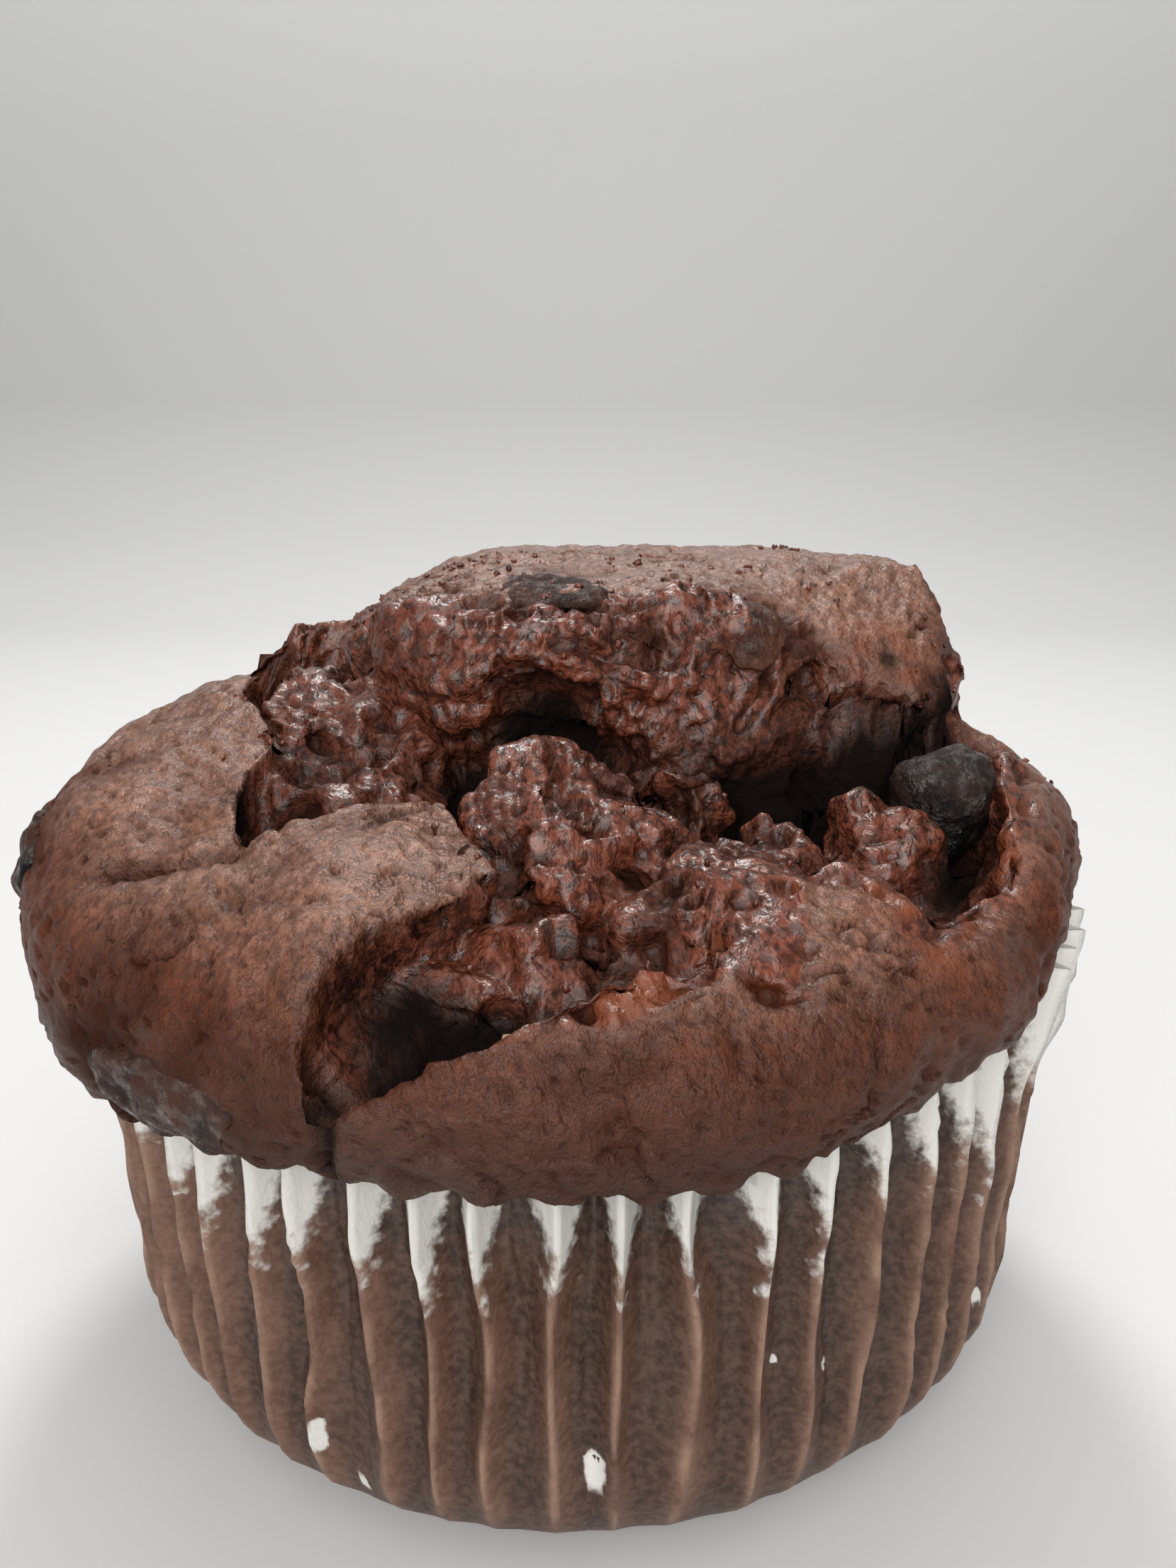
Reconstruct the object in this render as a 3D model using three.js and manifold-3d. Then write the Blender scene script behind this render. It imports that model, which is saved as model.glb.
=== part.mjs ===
// A large double chocolate muffin baked in a pleated paper case.
//
// Three kinds of piece: the paper case, the cake that fills it and mushrooms over its rim, and the
// chocolate chunks that stand out of the cake. Millimetres, +Z up, origin at the centre of the
// case's underside. The side with the open front crack faces -Y.

import * as THREE from 'three';
import { mergeVertices } from 'three/addons/utils/BufferGeometryUtils.js';
import Module from 'manifold-3d';

// ---- Driving dimensions ----

const TURN = 2 * Math.PI;
const GAP = 0.35;                 // clearance between pieces that touch

const BASE_RADIUS = 28;           // flat floor of the case
const CORNER_RADIUS = 12;         // rounded corner between floor and wall
const WALL_RADIUS = 40;           // outer folds just above the corner
const PAPER = 0.5;                // modelled paper thickness
const PLEATS = 58;
const PLEAT_DEPTH_LOW = 0.8;      // fold depth at the corner
const PLEAT_DEPTH_HIGH = 2.2;     // fold depth at the rim
const RIM_HEIGHT = 40.5;          // top of the paper
const WALL_FLARE = 0.9;           // how far the wall leans out up to mid height
const MID_WALL = 28.5;
const BARE_FLARE = 2.5;           // further flare of the stretch of rim that the crown leaves bare
const BARE_FROM = -37;            // bearings of that stretch, degrees from +X
const BARE_TO = 30;
const BARE_BLEND = 4;

const CROWN_RADIUS = 43.6;
const CROWN_WIDEST = 41;          // height at which the crown is widest
const CROWN_WIDEST_BARE = 43.5;   // the same over the bare stretch of rim
const LIP_HEIGHT = 34.2;          // lowest point of the lip
const LIP_CLIMB = 6.2;            // rise of the lip up to the bare stretch of rim
const LIP_CLIMB_SPAN = 48;        // degrees over which it rises
const LIP_SAG = 4.8;              // how far the lip hangs lower at the left
const LIP_DEPTH_RADIUS = 42.3;    // outer radius of the lip's underside
const LIP_INNER_RADIUS = 41.5;    // face of the lip towards the paper
const GROOVE_COVER = 42.2;        // inside this radius the crown stays above the paper rim

// Heights of the crust without the roll-off at the rim.
const CRUST = {
  plate: 53.8,                    // front left, in front of the crease
  lobe: 59,                       // left, at its rear
  lobeRamp: 6.6,                  // how much lower the lobe is just behind the crease
  right: 51.8,                    // front right
  rightRise: 5.6,                 // more towards the right rim
  rear: 60,
  flap: 8,                        // more at the flap that stands up at the rear left
};
const CRUST_EDGE = 1.3;           // half width of the torn side of the crust
const BLOCK_EDGE = 2;
const CREASE_Y = -25.5;           // crease between plate and lobe at the left rim
const CREASE_CLIMB = 7;           // how much nearer the centre it ends
const CREASE_WIDTH = 1.2;

// The block that has burst up at the rear: its level top, the foot of its torn face, the widths of
// the rounded shoulder at the left and in front, and the height of the dome that caps it behind.
const BLOCK_TOP = 66;
const BLOCK_FACE_FOOT = 55.5;
const BLOCK_FOOT = 46;
const BLOCK_DOME = 67.5;
const BLOCK_SHOULDER_LEFT = 3.5;
const BLOCK_SHOULDER_FRONT = 7.5;
const BLOCK_SHOULDER_RIGHT = 4.5;

const OPENING_FLOOR = 43.5;
const CRACK_DEPTH = 6;            // depth of the front crack below that floor
const CRACK = [-7, -39];          // its middle
const PIT = [-21.8, -17];         // small pit beside the left lobe
const PIT_DEPTH = 6;

const CAKE_COLUMNS = 90;
const CROWN_ROWS = 34;

// Plan outlines of the crown, points joined by a smooth closed curve. OPENING is the torn gap in
// the crust and BLOCK the raised rear part that has burst up through it.
const OPENING = [
  [-21.8, -22.6], [-19, -22.2], [-15.3, -20.8], [-10.2, -17.4], [-5, -24.5], [-3.4, -28.5],
  [-8.5, -34.4], [-13.4, -38.6], [-15.2, -47], [-12.2, -46.5], [-8, -41.3], [-1.2, -37.6],
  [8.6, -34.6], [11, -27], [20, -25], [24, -27.6], [32.5, -18.9], [30.5, -16.5], [33.4, -6],
  [35.5, 1], [0, 16], [-16, 18], [-19.5, 30], [-21.5, 22], [-29, 22.3], [-37, 15], [-28.5, 8],
  [-27.6, -3], [-22.8, -9.6], [-23.3, -16],
];
const BLOCK = [
  [-22.4, 13], [-19.5, 4], [-14.5, -3], [-9, -6.5], [3, -7], [15, -5], [27, -4.2], [32, -4],
  [37.4, 6], [37.8, 12], [38, 19], [44, 27], [34, 52], [0, 60], [-27, 50], [-24.5, 28],
];
// Chocolate chunks: centre, half sizes, turn about Z and tilt about their own X, degrees.
const CHUNKS = [
  { centre: [29, -12.6, 49.6], half: [3.9, 4.4, 5.0], turn: 20, tilt: 12 },
  { centre: [-2, 2.5, 63.6], half: [4.8, 4.2, 1.8], turn: -25, tilt: 8 },
  { centre: [15.4, -1.6, 61.4], half: [3.0, 3.3, 2.6], turn: 10, tilt: 20 },
  { centre: [-25.1, -35.7, 37.4], half: [6.2, 1.7, 3.4], turn: -35, tilt: 0 },
  { centre: [-42.2, -12.4, 44.6], half: [2.6, 4.2, 3.6], turn: 15, tilt: 0 },
];

const COLOURS = { paper: 0x74594a, cake: 0x57372b, chocolate: 0x241c1c };

// ---- Small helpers ----

const clamp = (v, lo, hi) => Math.min(hi, Math.max(lo, v));
const mix = (a, b, t) => a + (b - a) * t;
const ease = (a, b, v) => {
  const u = clamp((v - a) / (b - a), 0, 1);
  return u * u * (3 - 2 * u);
};
const radians = THREE.MathUtils.degToRad;
const bell = (v, width) => Math.exp(-((v / width) ** 2));

// Smallest angle from bearing b to bearing a, degrees.
const bearingGap = (a, b) => ((a - b + 540) % 360) - 180;

function smoothLoop(points, steps = 4) {
  const loop = points.map(([x, y]) => new THREE.Vector3(x, y, 0));
  const curve = new THREE.CatmullRomCurve3(loop, true, 'catmullrom', 0.5);
  return curve.getPoints(points.length * steps).slice(0, -1);
}

// Signed distance from a plan point to a closed outline, positive inside it.
function depthInside(x, y, loop) {
  let nearest = Infinity;
  let inside = false;
  loop.forEach((a, i) => {
    const b = loop[(i + 1) % loop.length];
    const ex = b.x - a.x;
    const ey = b.y - a.y;
    const t = clamp(((x - a.x) * ex + (y - a.y) * ey) / (ex * ex + ey * ey), 0, 1);
    nearest = Math.min(nearest, Math.hypot(x - a.x - t * ex, y - a.y - t * ey));
    const crosses = (a.y > y) !== (b.y > y);
    if (crosses && x < ((b.x - a.x) * (y - a.y)) / (b.y - a.y) + a.x) inside = !inside;
  });
  return inside ? nearest : -nearest;
}

// Closed body from rings of equal length, with a point at each end.
function ringBody(rings, first, last) {
  const n = rings[0].length;
  const points = [first, ...rings.flat(), last];
  const index = [];
  const at = (ring, i) => 1 + ring * n + (i % n);
  for (let i = 0; i < n; i += 1) {
    index.push(0, at(0, i), at(0, i + 1));
    for (let ring = 0; ring < rings.length - 1; ring += 1) {
      index.push(at(ring, i), at(ring + 1, i), at(ring + 1, i + 1));
      index.push(at(ring, i), at(ring + 1, i + 1), at(ring, i + 1));
    }
    index.push(at(rings.length - 1, i), points.length - 1, at(rings.length - 1, i + 1));
  }
  const geometry = new THREE.BufferGeometry();
  geometry.setAttribute('position', new THREE.Float32BufferAttribute(points.flat(), 3));
  geometry.setIndex(index);
  return geometry;
}

function piece(name, geometry, color, roughness) {
  const mesh = new THREE.Mesh(
    geometry,
    new THREE.MeshStandardMaterial({ color, roughness, metalness: 0 }),
  );
  mesh.name = name;
  return mesh;
}

// ---- Paper case ----

// 0 where the crown hangs over the paper rim, 1 where the rim is bare.
function bareness(bearing) {
  const middle = (BARE_FROM + BARE_TO) / 2;
  const halfSpan = (BARE_TO - BARE_FROM) / 2;
  const away = Math.abs(bearingGap(bearing, middle));
  return 1 - ease(halfSpan - BARE_BLEND, halfSpan + BARE_BLEND, away);
}

const rimFlare = (bare) => BARE_FLARE * ease(0.6, 1, bare);

// Outer radius of the folds at height z above the corner.
function foldRadius(z, bare) {
  const lean = WALL_FLARE * clamp((z - CORNER_RADIUS) / (MID_WALL - CORNER_RADIUS), 0, 1);
  return WALL_RADIUS + lean + rimFlare(bare) * ease(MID_WALL - 2, RIM_HEIGHT, z);
}

const pleatDepth = (z) => mix(PLEAT_DEPTH_LOW, PLEAT_DEPTH_HIGH, ease(0, RIM_HEIGHT, z));

// One ring of the case: cornerAngle runs 90 to 0 round the corner; above it, z is a wall height.
function caseRing({ cornerAngle = 0, z = CORNER_RADIUS, inset = 0 }) {
  return Array.from({ length: 2 * PLEATS }, (_, i) => {
    const bearing = (i / (2 * PLEATS)) * 360;
    const bare = bareness(bearing);
    const inFold = i % 2 === 1;
    const angle = radians(bearing);
    if (z > CORNER_RADIUS) {
      const radius = foldRadius(z, bare) - (inFold ? pleatDepth(z) : 0) - inset;
      return [radius * Math.cos(angle), radius * Math.sin(angle), z];
    }
    const corner = radians(cornerAngle);
    const fold = inFold ? PLEAT_DEPTH_LOW * Math.cos(corner) : 0;
    const reach = CORNER_RADIUS - fold - inset;
    const radius = BASE_RADIUS + reach * Math.cos(corner);
    return [radius * Math.cos(angle), radius * Math.sin(angle), CORNER_RADIUS - reach * Math.sin(corner)];
  });
}

function paperCase() {
  const heights = [
    { cornerAngle: 90 }, { cornerAngle: 58 }, { cornerAngle: 28 }, { cornerAngle: 0 },
    { z: MID_WALL }, { z: RIM_HEIGHT },
  ];
  const outer = heights.map((spec) => caseRing(spec));
  const inner = heights.map((spec) => caseRing({ ...spec, inset: PAPER })).reverse();
  const geometry = ringBody([...outer, ...inner], [0, 0, 0], [0, 0, PAPER]);
  return flipIfInsideOut(geometry);
}

// ---- Cake ----

const opening = smoothLoop(OPENING);
const block = smoothLoop(BLOCK);

// The crown's greatest radius, the height where it has it, and the lip's lowest height, which
// dips at the left and climbs to the paper rim on both sides of its bare stretch.
function crownRim(bearing) {
  const towards = (direction, width) => bell(bearingGap(bearing, direction), width);
  const fromRight = bearingGap(bearing, 0);
  const climb = Math.min(fromRight + 77, 75 - fromRight) / LIP_CLIMB_SPAN;
  const covered = CROWN_WIDEST - 2.6 * towards(262, 50);
  return {
    radius: CROWN_RADIUS + 1.7 * towards(195, 60) - 1.8 * towards(-5, 45) + 0.5 * towards(120, 50),
    widest: mix(covered, CROWN_WIDEST_BARE, ease(0, 0.7, bareness(bearing))),
    lip: LIP_HEIGHT - LIP_SAG * towards(200, 22) + LIP_CLIMB * clamp(climb, 0, 1),
  };
}

// Height that the crust would have without the roll-off at the rim: a left lobe that ramps up to
// the rear, a plate in front of it across a shallow crease, a low lobe front right that rises to
// the right rim, and a flap standing up at the rear left.
function crustHeight(x, y) {
  const creaseY = CREASE_Y + CREASE_CLIMB * ease(-26, -9, x);
  const creaseWidth = CREASE_WIDTH + 16 * (1 - ease(-36, -27, x));
  const plate = CRUST.plate + bell(x + 11, 8) * bell(y + 35, 6);
  const lobe = CRUST.lobe - CRUST.lobeRamp * (1 - ease(-25, 5, y)) * ease(-40, -27, x);
  const west = mix(plate, lobe, ease(-1, 1, (y - creaseY) / creaseWidth));
  const east = CRUST.right + CRUST.rightRise * ease(20, 34, x) * ease(-34, -14, y);
  const front = mix(west, east, ease(-17, -6, x));
  const flap = CRUST.flap * bell(x + 30, 9) * bell(y - 22, 7);
  return mix(front, CRUST.rear, ease(8, 26, y)) + flap;
}

// Roll-off of a domed top from 1 at the centre to 0 at the rim.
const dome = (r, radius, power = 3, root = 2.3) => (1 - clamp(r / radius, 0, 1) ** power) ** (1 / root);

const nearEdge = (depth, reach) => Math.exp(-clamp(depth, 0, 9) / reach);

// Masses of crumb that show in the opening, each an ellipse in plan: the slope below the left
// lobe, the lump in the centre, the ledge beside it, a small lump near the right rim, one at the
// foot of the block and the bridge at the head of the front crack. edge is the half width of the
// side, and foot is the height that it falls to.
const MASSES = [
  {
    centre: [-19.5, -5], half: [8, 15.5], turn: 10, edge: 1.6, foot: 43,
    top: (x, y, d) => 50.9 + 0.31 * clamp(y + 16, -6, 19) - 0.25 * clamp(x + 18, 0, 8) - 0.6 * nearEdge(d, 1.4),
  },
  {
    centre: [0.4, -18.4], half: [8.9, 9], turn: 0, edge: 1.5, foot: 43,
    top: (x, y, d) => 54.9 - 0.3 * Math.max(x + 2, 0) - 0.42 * Math.max(-14 - y, 0) - 2.2 * nearEdge(d, 1.6),
  },
  {
    centre: [11, -24], half: [11.5, 5.8], turn: 49, edge: 1.2, foot: 43,
    top: (x, y, d) => 49.7 - 0.2 * clamp(10 - x, 0, 9) - 0.22 * clamp(-26 - y, 0, 9) - 0.6 * nearEdge(d, 1.2),
  },
  {
    centre: [24.3, -14.6], half: [5.6, 6.2], turn: 0, edge: 1.6, foot: 42,
    top: (x, y, d) => 50.4 + 0.18 * (y + 12) - 3 * nearEdge(d, 1.8),
  },
  {
    centre: [8.8, -7.5], half: [5.4, 5.2], turn: 0, edge: 1.5, foot: 43,
    top: (x, y, d) => 52.5 - 2.6 * nearEdge(d, 1.6),
  },
  {
    centre: [-1.2, -30.6], half: [5, 4.2], turn: 0, edge: 1.5, foot: 42,
    top: (x, y, d) => 46.4 - nearEdge(d, 1.6),
  },
];

// Roughly how far a plan point lies inside an ellipse, positive inside.
function depthInEllipse(x, y, { centre, half, turn }) {
  const c = Math.cos(radians(turn));
  const s = Math.sin(radians(turn));
  const u = (x - centre[0]) * c + (y - centre[1]) * s;
  const v = (y - centre[1]) * c - (x - centre[0]) * s;
  return (1 - Math.hypot(u / half[0], v / half[1])) * Math.min(...half);
}

// The raised block at the rear: a nearly level crust that falls to the front right and the left,
// with a shoulder rounded down to its torn face.
function blockHeight(x, y, depth, bearing) {
  const { radius, widest } = crownRim(bearing);
  const level = BLOCK_TOP - 0.0026 * Math.max(24 - y, 0) ** 2;
  const fallRight = 0.033 * Math.max(x - 12, 0) * Math.max(12 - y, 0) + 0.5 * Math.max(x - 32.6, 0) ** 1.3;
  const fallLeft = 0.022 * Math.max(-5.5 - x, 0) ** 2;
  const squareness = 5 + 3 * bell(bearingGap(bearing, 15), 28);
  const rear = widest + 0.6 + (BLOCK_DOME - widest) * dome(Math.hypot(x, y), radius, squareness, 2);
  const crust = Math.min(level - fallLeft, rear) - fallRight;
  const leftToFront = mix(BLOCK_SHOULDER_LEFT, BLOCK_SHOULDER_FRONT, ease(-17, -9, x));
  const width = mix(leftToFront, BLOCK_SHOULDER_RIGHT, ease(28, 34, x));
  const shoulder = 1 - (1 - clamp(depth / width, 0, 1)) ** 2.4;
  return Math.min(crust, mix(BLOCK_FACE_FOOT, crust, shoulder));
}

// Top of one piece at a plan point: its own height inside, falling to its foot across its edge.
const edged = (top, depth, edge, foot) => (depth < -edge ? -Infinity : mix(foot, top, ease(-edge, edge, depth)));

// Height of the crown at a plan point inside its rim: the highest of the floor of the opening, the
// crumb masses, the crust round the opening and the block.
function crownHeight(x, y) {
  const r = Math.hypot(x, y);
  const bearing = (Math.atan2(y, x) * 360) / TURN;
  const rim = crownRim(bearing);
  const crust = rim.widest + (crustHeight(x, y) - rim.widest) * dome(r, rim.radius);
  const open = depthInside(x, y, opening);
  const crackX = x - CRACK[0];
  const crack = bell(crackX, 8) * bell(y - CRACK[1] - 0.3 * crackX, 2.6);
  const floor = OPENING_FLOOR + 1.5 * ease(2, 7, open) - CRACK_DEPTH * crack;
  const pit = PIT_DEPTH * bell(Math.hypot(x - PIT[0], y - PIT[1]), 2);
  const heights = MASSES.map((mass) => {
    const depth = depthInEllipse(x, y, mass);
    return edged(mass.top(x, y, depth) - pit, depth, mass.edge, mass.foot);
  });
  const inBlock = depthInside(x, y, block);
  const blockTop = blockHeight(x, y, inBlock, bearing);
  const crustFoot = Math.min(OPENING_FLOOR - 1.5, crust - 4);
  return Math.max(
    Math.min(floor, crust - 2.5 - 3 * crack),
    ...heights,
    edged(crust - 0.7 * nearEdge(-open, 0.8), -open, CRUST_EDGE, crustFoot),
    edged(blockTop, inBlock, BLOCK_EDGE, Math.min(BLOCK_FOOT, blockTop - 1)),
  );
}

// Points of one bearing below the crown: lip, the groove that clears the paper rim, and the body
// inside the case. Where the rim is bare the crown ends just above the paper.
function underside(bearing, topHeight) {
  const bare = bareness(bearing);
  const { radius, lip } = crownRim(bearing);
  const raise = ease(0, 0.6, bare);
  const aboveRim = RIM_HEIGHT + GAP;
  const lipZ = mix(lip, aboveRim, raise);
  const inner = mix(LIP_DEPTH_RADIUS, 41.6, raise);
  const lipRows = [0.3, 0.6, 0.85, 1].map((part) => {
    const angle = (part * TURN) / 4;
    const drawn = (1 - Math.cos(angle)) ** 1.05;
    return [radius - (radius - inner) * drawn, topHeight - (topHeight - lipZ) * Math.sin(angle)];
  });
  const bodyRadius = foldRadius(MID_WALL, bare) - pleatDepth(RIM_HEIGHT) - PAPER - GAP;
  const grooveRoof = mix(aboveRim + 0.2, aboveRim - 0.02, raise);
  const cornerReach = CORNER_RADIUS - PAPER - PLEAT_DEPTH_LOW - GAP - 0.25;
  const corner = [0, 40, 75].map((degrees) => {
    const angle = radians(degrees);
    const reach = cornerReach + 0.6 * Math.sin(angle);
    return [BASE_RADIUS - 0.9 + reach * Math.cos(angle), CORNER_RADIUS - reach * Math.sin(angle)];
  });
  return [
    ...lipRows,
    [mix(LIP_INNER_RADIUS, 41.2, raise), mix(lipZ + 0.15, aboveRim - 0.01, raise)],
    [mix(LIP_INNER_RADIUS, 40.8, raise), grooveRoof],
    [bodyRadius + 0.8 * rimFlare(bare), grooveRoof],
    [bodyRadius, MID_WALL - 2],
    ...corner,
  ];
}

function cakeBody() {
  const columns = Array.from({ length: CAKE_COLUMNS }, (_, i) => {
    const bearing = (i / CAKE_COLUMNS) * 360;
    const angle = radians(bearing);
    const { radius, lip } = crownRim(bearing);
    const place = (r, z) => [r * Math.cos(angle), r * Math.sin(angle), z];
    const crown = Array.from({ length: CROWN_ROWS }, (__, row) => {
      const r = radius * Math.sin(((row + 1) / CROWN_ROWS) * (TURN / 4));
      const lowest = r < GROOVE_COVER ? RIM_HEIGHT + 1.5 : lip + 1.2;
      return place(r, Math.max(crownHeight(r * Math.cos(angle), r * Math.sin(angle)), lowest));
    });
    const edgeHeight = crown[crown.length - 1][2];
    return [...crown, ...underside(bearing, edgeHeight).map(([r, z]) => place(r, z))];
  });
  const rings = columns[0].map((_, row) => columns.map((column) => column[row]));
  const floorZ = columns[0][columns[0].length - 1][2];
  return flipIfInsideOut(ringBody(rings, [0, 0, crownHeight(0, 0)], [0, 0, floorZ]));
}

// ---- Chocolate chunks ----

// A chunk is a ball pressed out of round: softly flattened, with a few broad dents.
function chunkGeometry({ centre, half, turn, tilt }, swell = 0) {
  const geometry = new THREE.IcosahedronGeometry(1, 2);
  geometry.deleteAttribute('normal');
  geometry.deleteAttribute('uv');
  const merged = mergeVertices(geometry);
  const position = merged.attributes.position;
  const point = new THREE.Vector3();
  for (let i = 0; i < position.count; i += 1) {
    point.fromBufferAttribute(position, i).normalize();
    const dents = 0.07 * Math.sin(3.1 * point.x + centre[0]) + 0.06 * Math.sin(4.3 * point.y + centre[1]);
    const size = 1 + dents + 0.05 * Math.sin(5.2 * point.z + centre[2]);
    position.setXYZ(
      i,
      point.x * (half[0] * size + swell),
      point.y * (half[1] * size + swell),
      point.z * (half[2] * size + swell),
    );
  }
  merged.rotateX(radians(tilt));
  merged.rotateZ(radians(turn));
  merged.translate(...centre);
  return merged;
}

// ---- Solids ----

const wasm = await Module();
wasm.setup();

function volume(geometry) {
  const [a, b, c] = [new THREE.Vector3(), new THREE.Vector3(), new THREE.Vector3()];
  const { position } = geometry.attributes;
  const { index } = geometry;
  let sum = 0;
  for (let i = 0; i < index.count; i += 3) {
    a.fromBufferAttribute(position, index.getX(i));
    b.fromBufferAttribute(position, index.getX(i + 1));
    c.fromBufferAttribute(position, index.getX(i + 2));
    sum += a.dot(b.cross(c)) / 6;
  }
  return sum;
}

function flipIfInsideOut(geometry) {
  if (volume(geometry) > 0) return geometry;
  const { index } = geometry;
  for (let i = 0; i < index.count; i += 3) {
    const second = index.getX(i + 1);
    index.setX(i + 1, index.getX(i + 2));
    index.setX(i + 2, second);
  }
  return geometry;
}

function solid(geometry) {
  return new wasm.Manifold(new wasm.Mesh({
    numProp: 3,
    vertProperties: new Float32Array(geometry.attributes.position.array),
    triVerts: new Uint32Array(geometry.index.array),
  }));
}

function toGeometry(body) {
  const mesh = body.getMesh();
  const geometry = new THREE.BufferGeometry();
  geometry.setAttribute('position', new THREE.BufferAttribute(mesh.vertProperties, 3));
  geometry.setIndex(new THREE.BufferAttribute(mesh.triVerts, 1));
  return geometry;
}

// The cake with a socket for each chunk; crumbs that a socket cuts loose are dropped.
function cakeWithSockets() {
  const cut = CHUNKS.reduce(
    (body, chunk) => body.subtract(solid(chunkGeometry(chunk, GAP))),
    solid(cakeBody()),
  );
  const parts = cut.decompose();
  parts.sort((a, b) => b.volume() - a.volume());
  return toGeometry(parts[0]);
}

const muffin = new THREE.Group();
muffin.add(piece('paper_case', paperCase(), COLOURS.paper, 0.8));
muffin.add(piece('cake', cakeWithSockets(), COLOURS.cake, 0.6));
CHUNKS.forEach((chunk, i) => {
  muffin.add(piece(`chocolate_chunk_${i + 1}`, chunkGeometry(chunk), COLOURS.chocolate, 0.35));
});

export default muffin;
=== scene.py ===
# A large double chocolate muffin in its pleated paper case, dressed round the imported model.
# Shapes are worked out in millimetres, +Z up, and put into Blender in metres.

import math

import bpy
import numpy as np
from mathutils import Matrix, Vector


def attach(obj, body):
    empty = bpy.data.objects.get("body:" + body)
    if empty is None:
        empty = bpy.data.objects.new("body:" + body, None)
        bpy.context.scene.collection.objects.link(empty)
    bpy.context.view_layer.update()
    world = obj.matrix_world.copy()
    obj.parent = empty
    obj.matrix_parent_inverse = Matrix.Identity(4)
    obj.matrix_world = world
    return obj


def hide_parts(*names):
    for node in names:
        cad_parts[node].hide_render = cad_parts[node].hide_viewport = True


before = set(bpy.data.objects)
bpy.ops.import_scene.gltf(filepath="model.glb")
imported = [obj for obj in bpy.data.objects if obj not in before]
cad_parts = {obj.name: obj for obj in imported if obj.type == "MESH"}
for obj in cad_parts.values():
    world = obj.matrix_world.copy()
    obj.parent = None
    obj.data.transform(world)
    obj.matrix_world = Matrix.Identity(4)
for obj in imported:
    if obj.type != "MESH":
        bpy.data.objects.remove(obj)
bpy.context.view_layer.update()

# ---- Table, light and viewpoint ----
# The muffin stands on a pale sweep that runs up behind it, as on a small studio table. A broad
# window lights it from low in front, a skylight from above and a small lamp from high behind, and
# a fourth lamp washes the rise of the sweep.

MM = 0.001
EYE = (1.28, -100.76, 76.04)                      # where the viewer's eye is
EYE_DIP = 15.9                                    # degrees below level
LENS, SENSOR, NEAREST = 27.02, 36.0, 2

camera = bpy.data.cameras.new("viewpoint")
camera.sensor_width = SENSOR
camera.lens = LENS
camera.clip_start = NEAREST * MM
viewpoint = bpy.data.objects.new("viewpoint", camera)
viewpoint.location = [v * MM for v in EYE]
viewpoint.rotation_euler = (math.radians(90 - EYE_DIP), 0, 0)
bpy.context.collection.objects.link(viewpoint)
bpy.context.scene.camera = viewpoint
bpy.context.scene.view_settings.view_transform = "Standard"

ROOM_LIGHT = 0.27
ROOM_TINT, LAMP_TINT = (0.99, 1.0, 1.0), (1.0, 0.99, 0.97)
LAMPS = {                                         # watts, then width, place and aim in metres
    "rear_lamp": (1.5, 0.14, (-0.03, 0.30, 0.54), (0, 0, 0.03)),
    "skylight": (1.9, 0.75, (0.02, -0.42, 0.76), (0, 0, 0.03)),
    "front_window": (7.6, 0.90, (-0.10, -0.85, 0.42), (0, 0, 0.03)),
    "wall_wash": (1.4, 0.50, (0, 0.10, 0.95), (0, 0.75, 0.30)),
}
SWEEP_FRONT, SWEEP_FLOOR_END, SWEEP_BEND, SWEEP_TOP = -900, 420, 330, 1300
SWEEP_HALF_WIDTH = 1500
PAINT_RISE = 400
# The sweep's grey dips up the rise and lifts near the top: painted shade where the lamps fall off.
SWEEP_SHADE_GREYS = [(0.0, 0.74), (0.08, 0.65), (0.26, 0.55), (0.5, 0.60), (0.9, 0.70)]   # share of rise, grey

room = bpy.data.worlds.new("room")
room.use_nodes = True
room.node_tree.nodes["Background"].inputs["Color"].default_value = (*ROOM_TINT, 1)
room.node_tree.nodes["Background"].inputs["Strength"].default_value = ROOM_LIGHT
bpy.context.scene.world = room

for lamp_name, (power, size, place, aim) in LAMPS.items():
    lamp_data = bpy.data.lights.new(lamp_name, "AREA")
    lamp_data.shape = "DISK"
    lamp_data.size = size
    lamp_data.energy = power
    lamp_data.color = LAMP_TINT
    lamp = bpy.data.objects.new(lamp_name, lamp_data)
    lamp.location = place
    lamp.rotation_euler = (Vector(place) - Vector(aim)).to_track_quat("Z", "Y").to_euler()
    bpy.context.collection.objects.link(lamp)


def add_node(tree, kind, inputs=None, **settings):
    """One shader node, with its settings, and its sockets set by name or number."""
    made = tree.nodes.new("ShaderNode" + kind)
    for key, value in settings.items():
        setattr(made, key, value)
    for key, value in (inputs or {}).items():
        made.inputs[key].default_value = value
    return made


def new_material(name):
    """A material with its Principled shader, and the two of them and the tree."""
    material = bpy.data.materials.new(name)
    material.use_nodes = True
    return material, material.node_tree, material.node_tree.nodes["Principled BSDF"]


def grid_faces(across, down):
    """Quads of a grid that closes on itself across, where a point's number is column * down + row."""
    column = np.arange(across)[:, None]
    row = np.arange(down - 1)[None]
    beside = (column + 1) % across
    corners = (column * down + row, column * down + row + 1, beside * down + row + 1, beside * down + row)
    return np.stack(corners, -1).reshape(-1, 4)


def make_mesh(name, points, faces, material):
    """A smooth mesh object at the origin from points in millimetres."""
    mesh = bpy.data.meshes.new(name)
    mesh.from_pydata((points * MM).tolist(), [], faces)
    mesh.update()
    mesh.shade_smooth()
    mesh.materials.append(material)
    made = bpy.data.objects.new(name, mesh)
    bpy.context.collection.objects.link(made)
    return made


def write_attribute(piece, name, values):
    """One number at each point of a piece, for its material to read."""
    made = piece.data.attributes.new(name, "FLOAT", "POINT")
    made.data.foreach_set("value", np.ascontiguousarray(values, np.float32).ravel())


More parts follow.
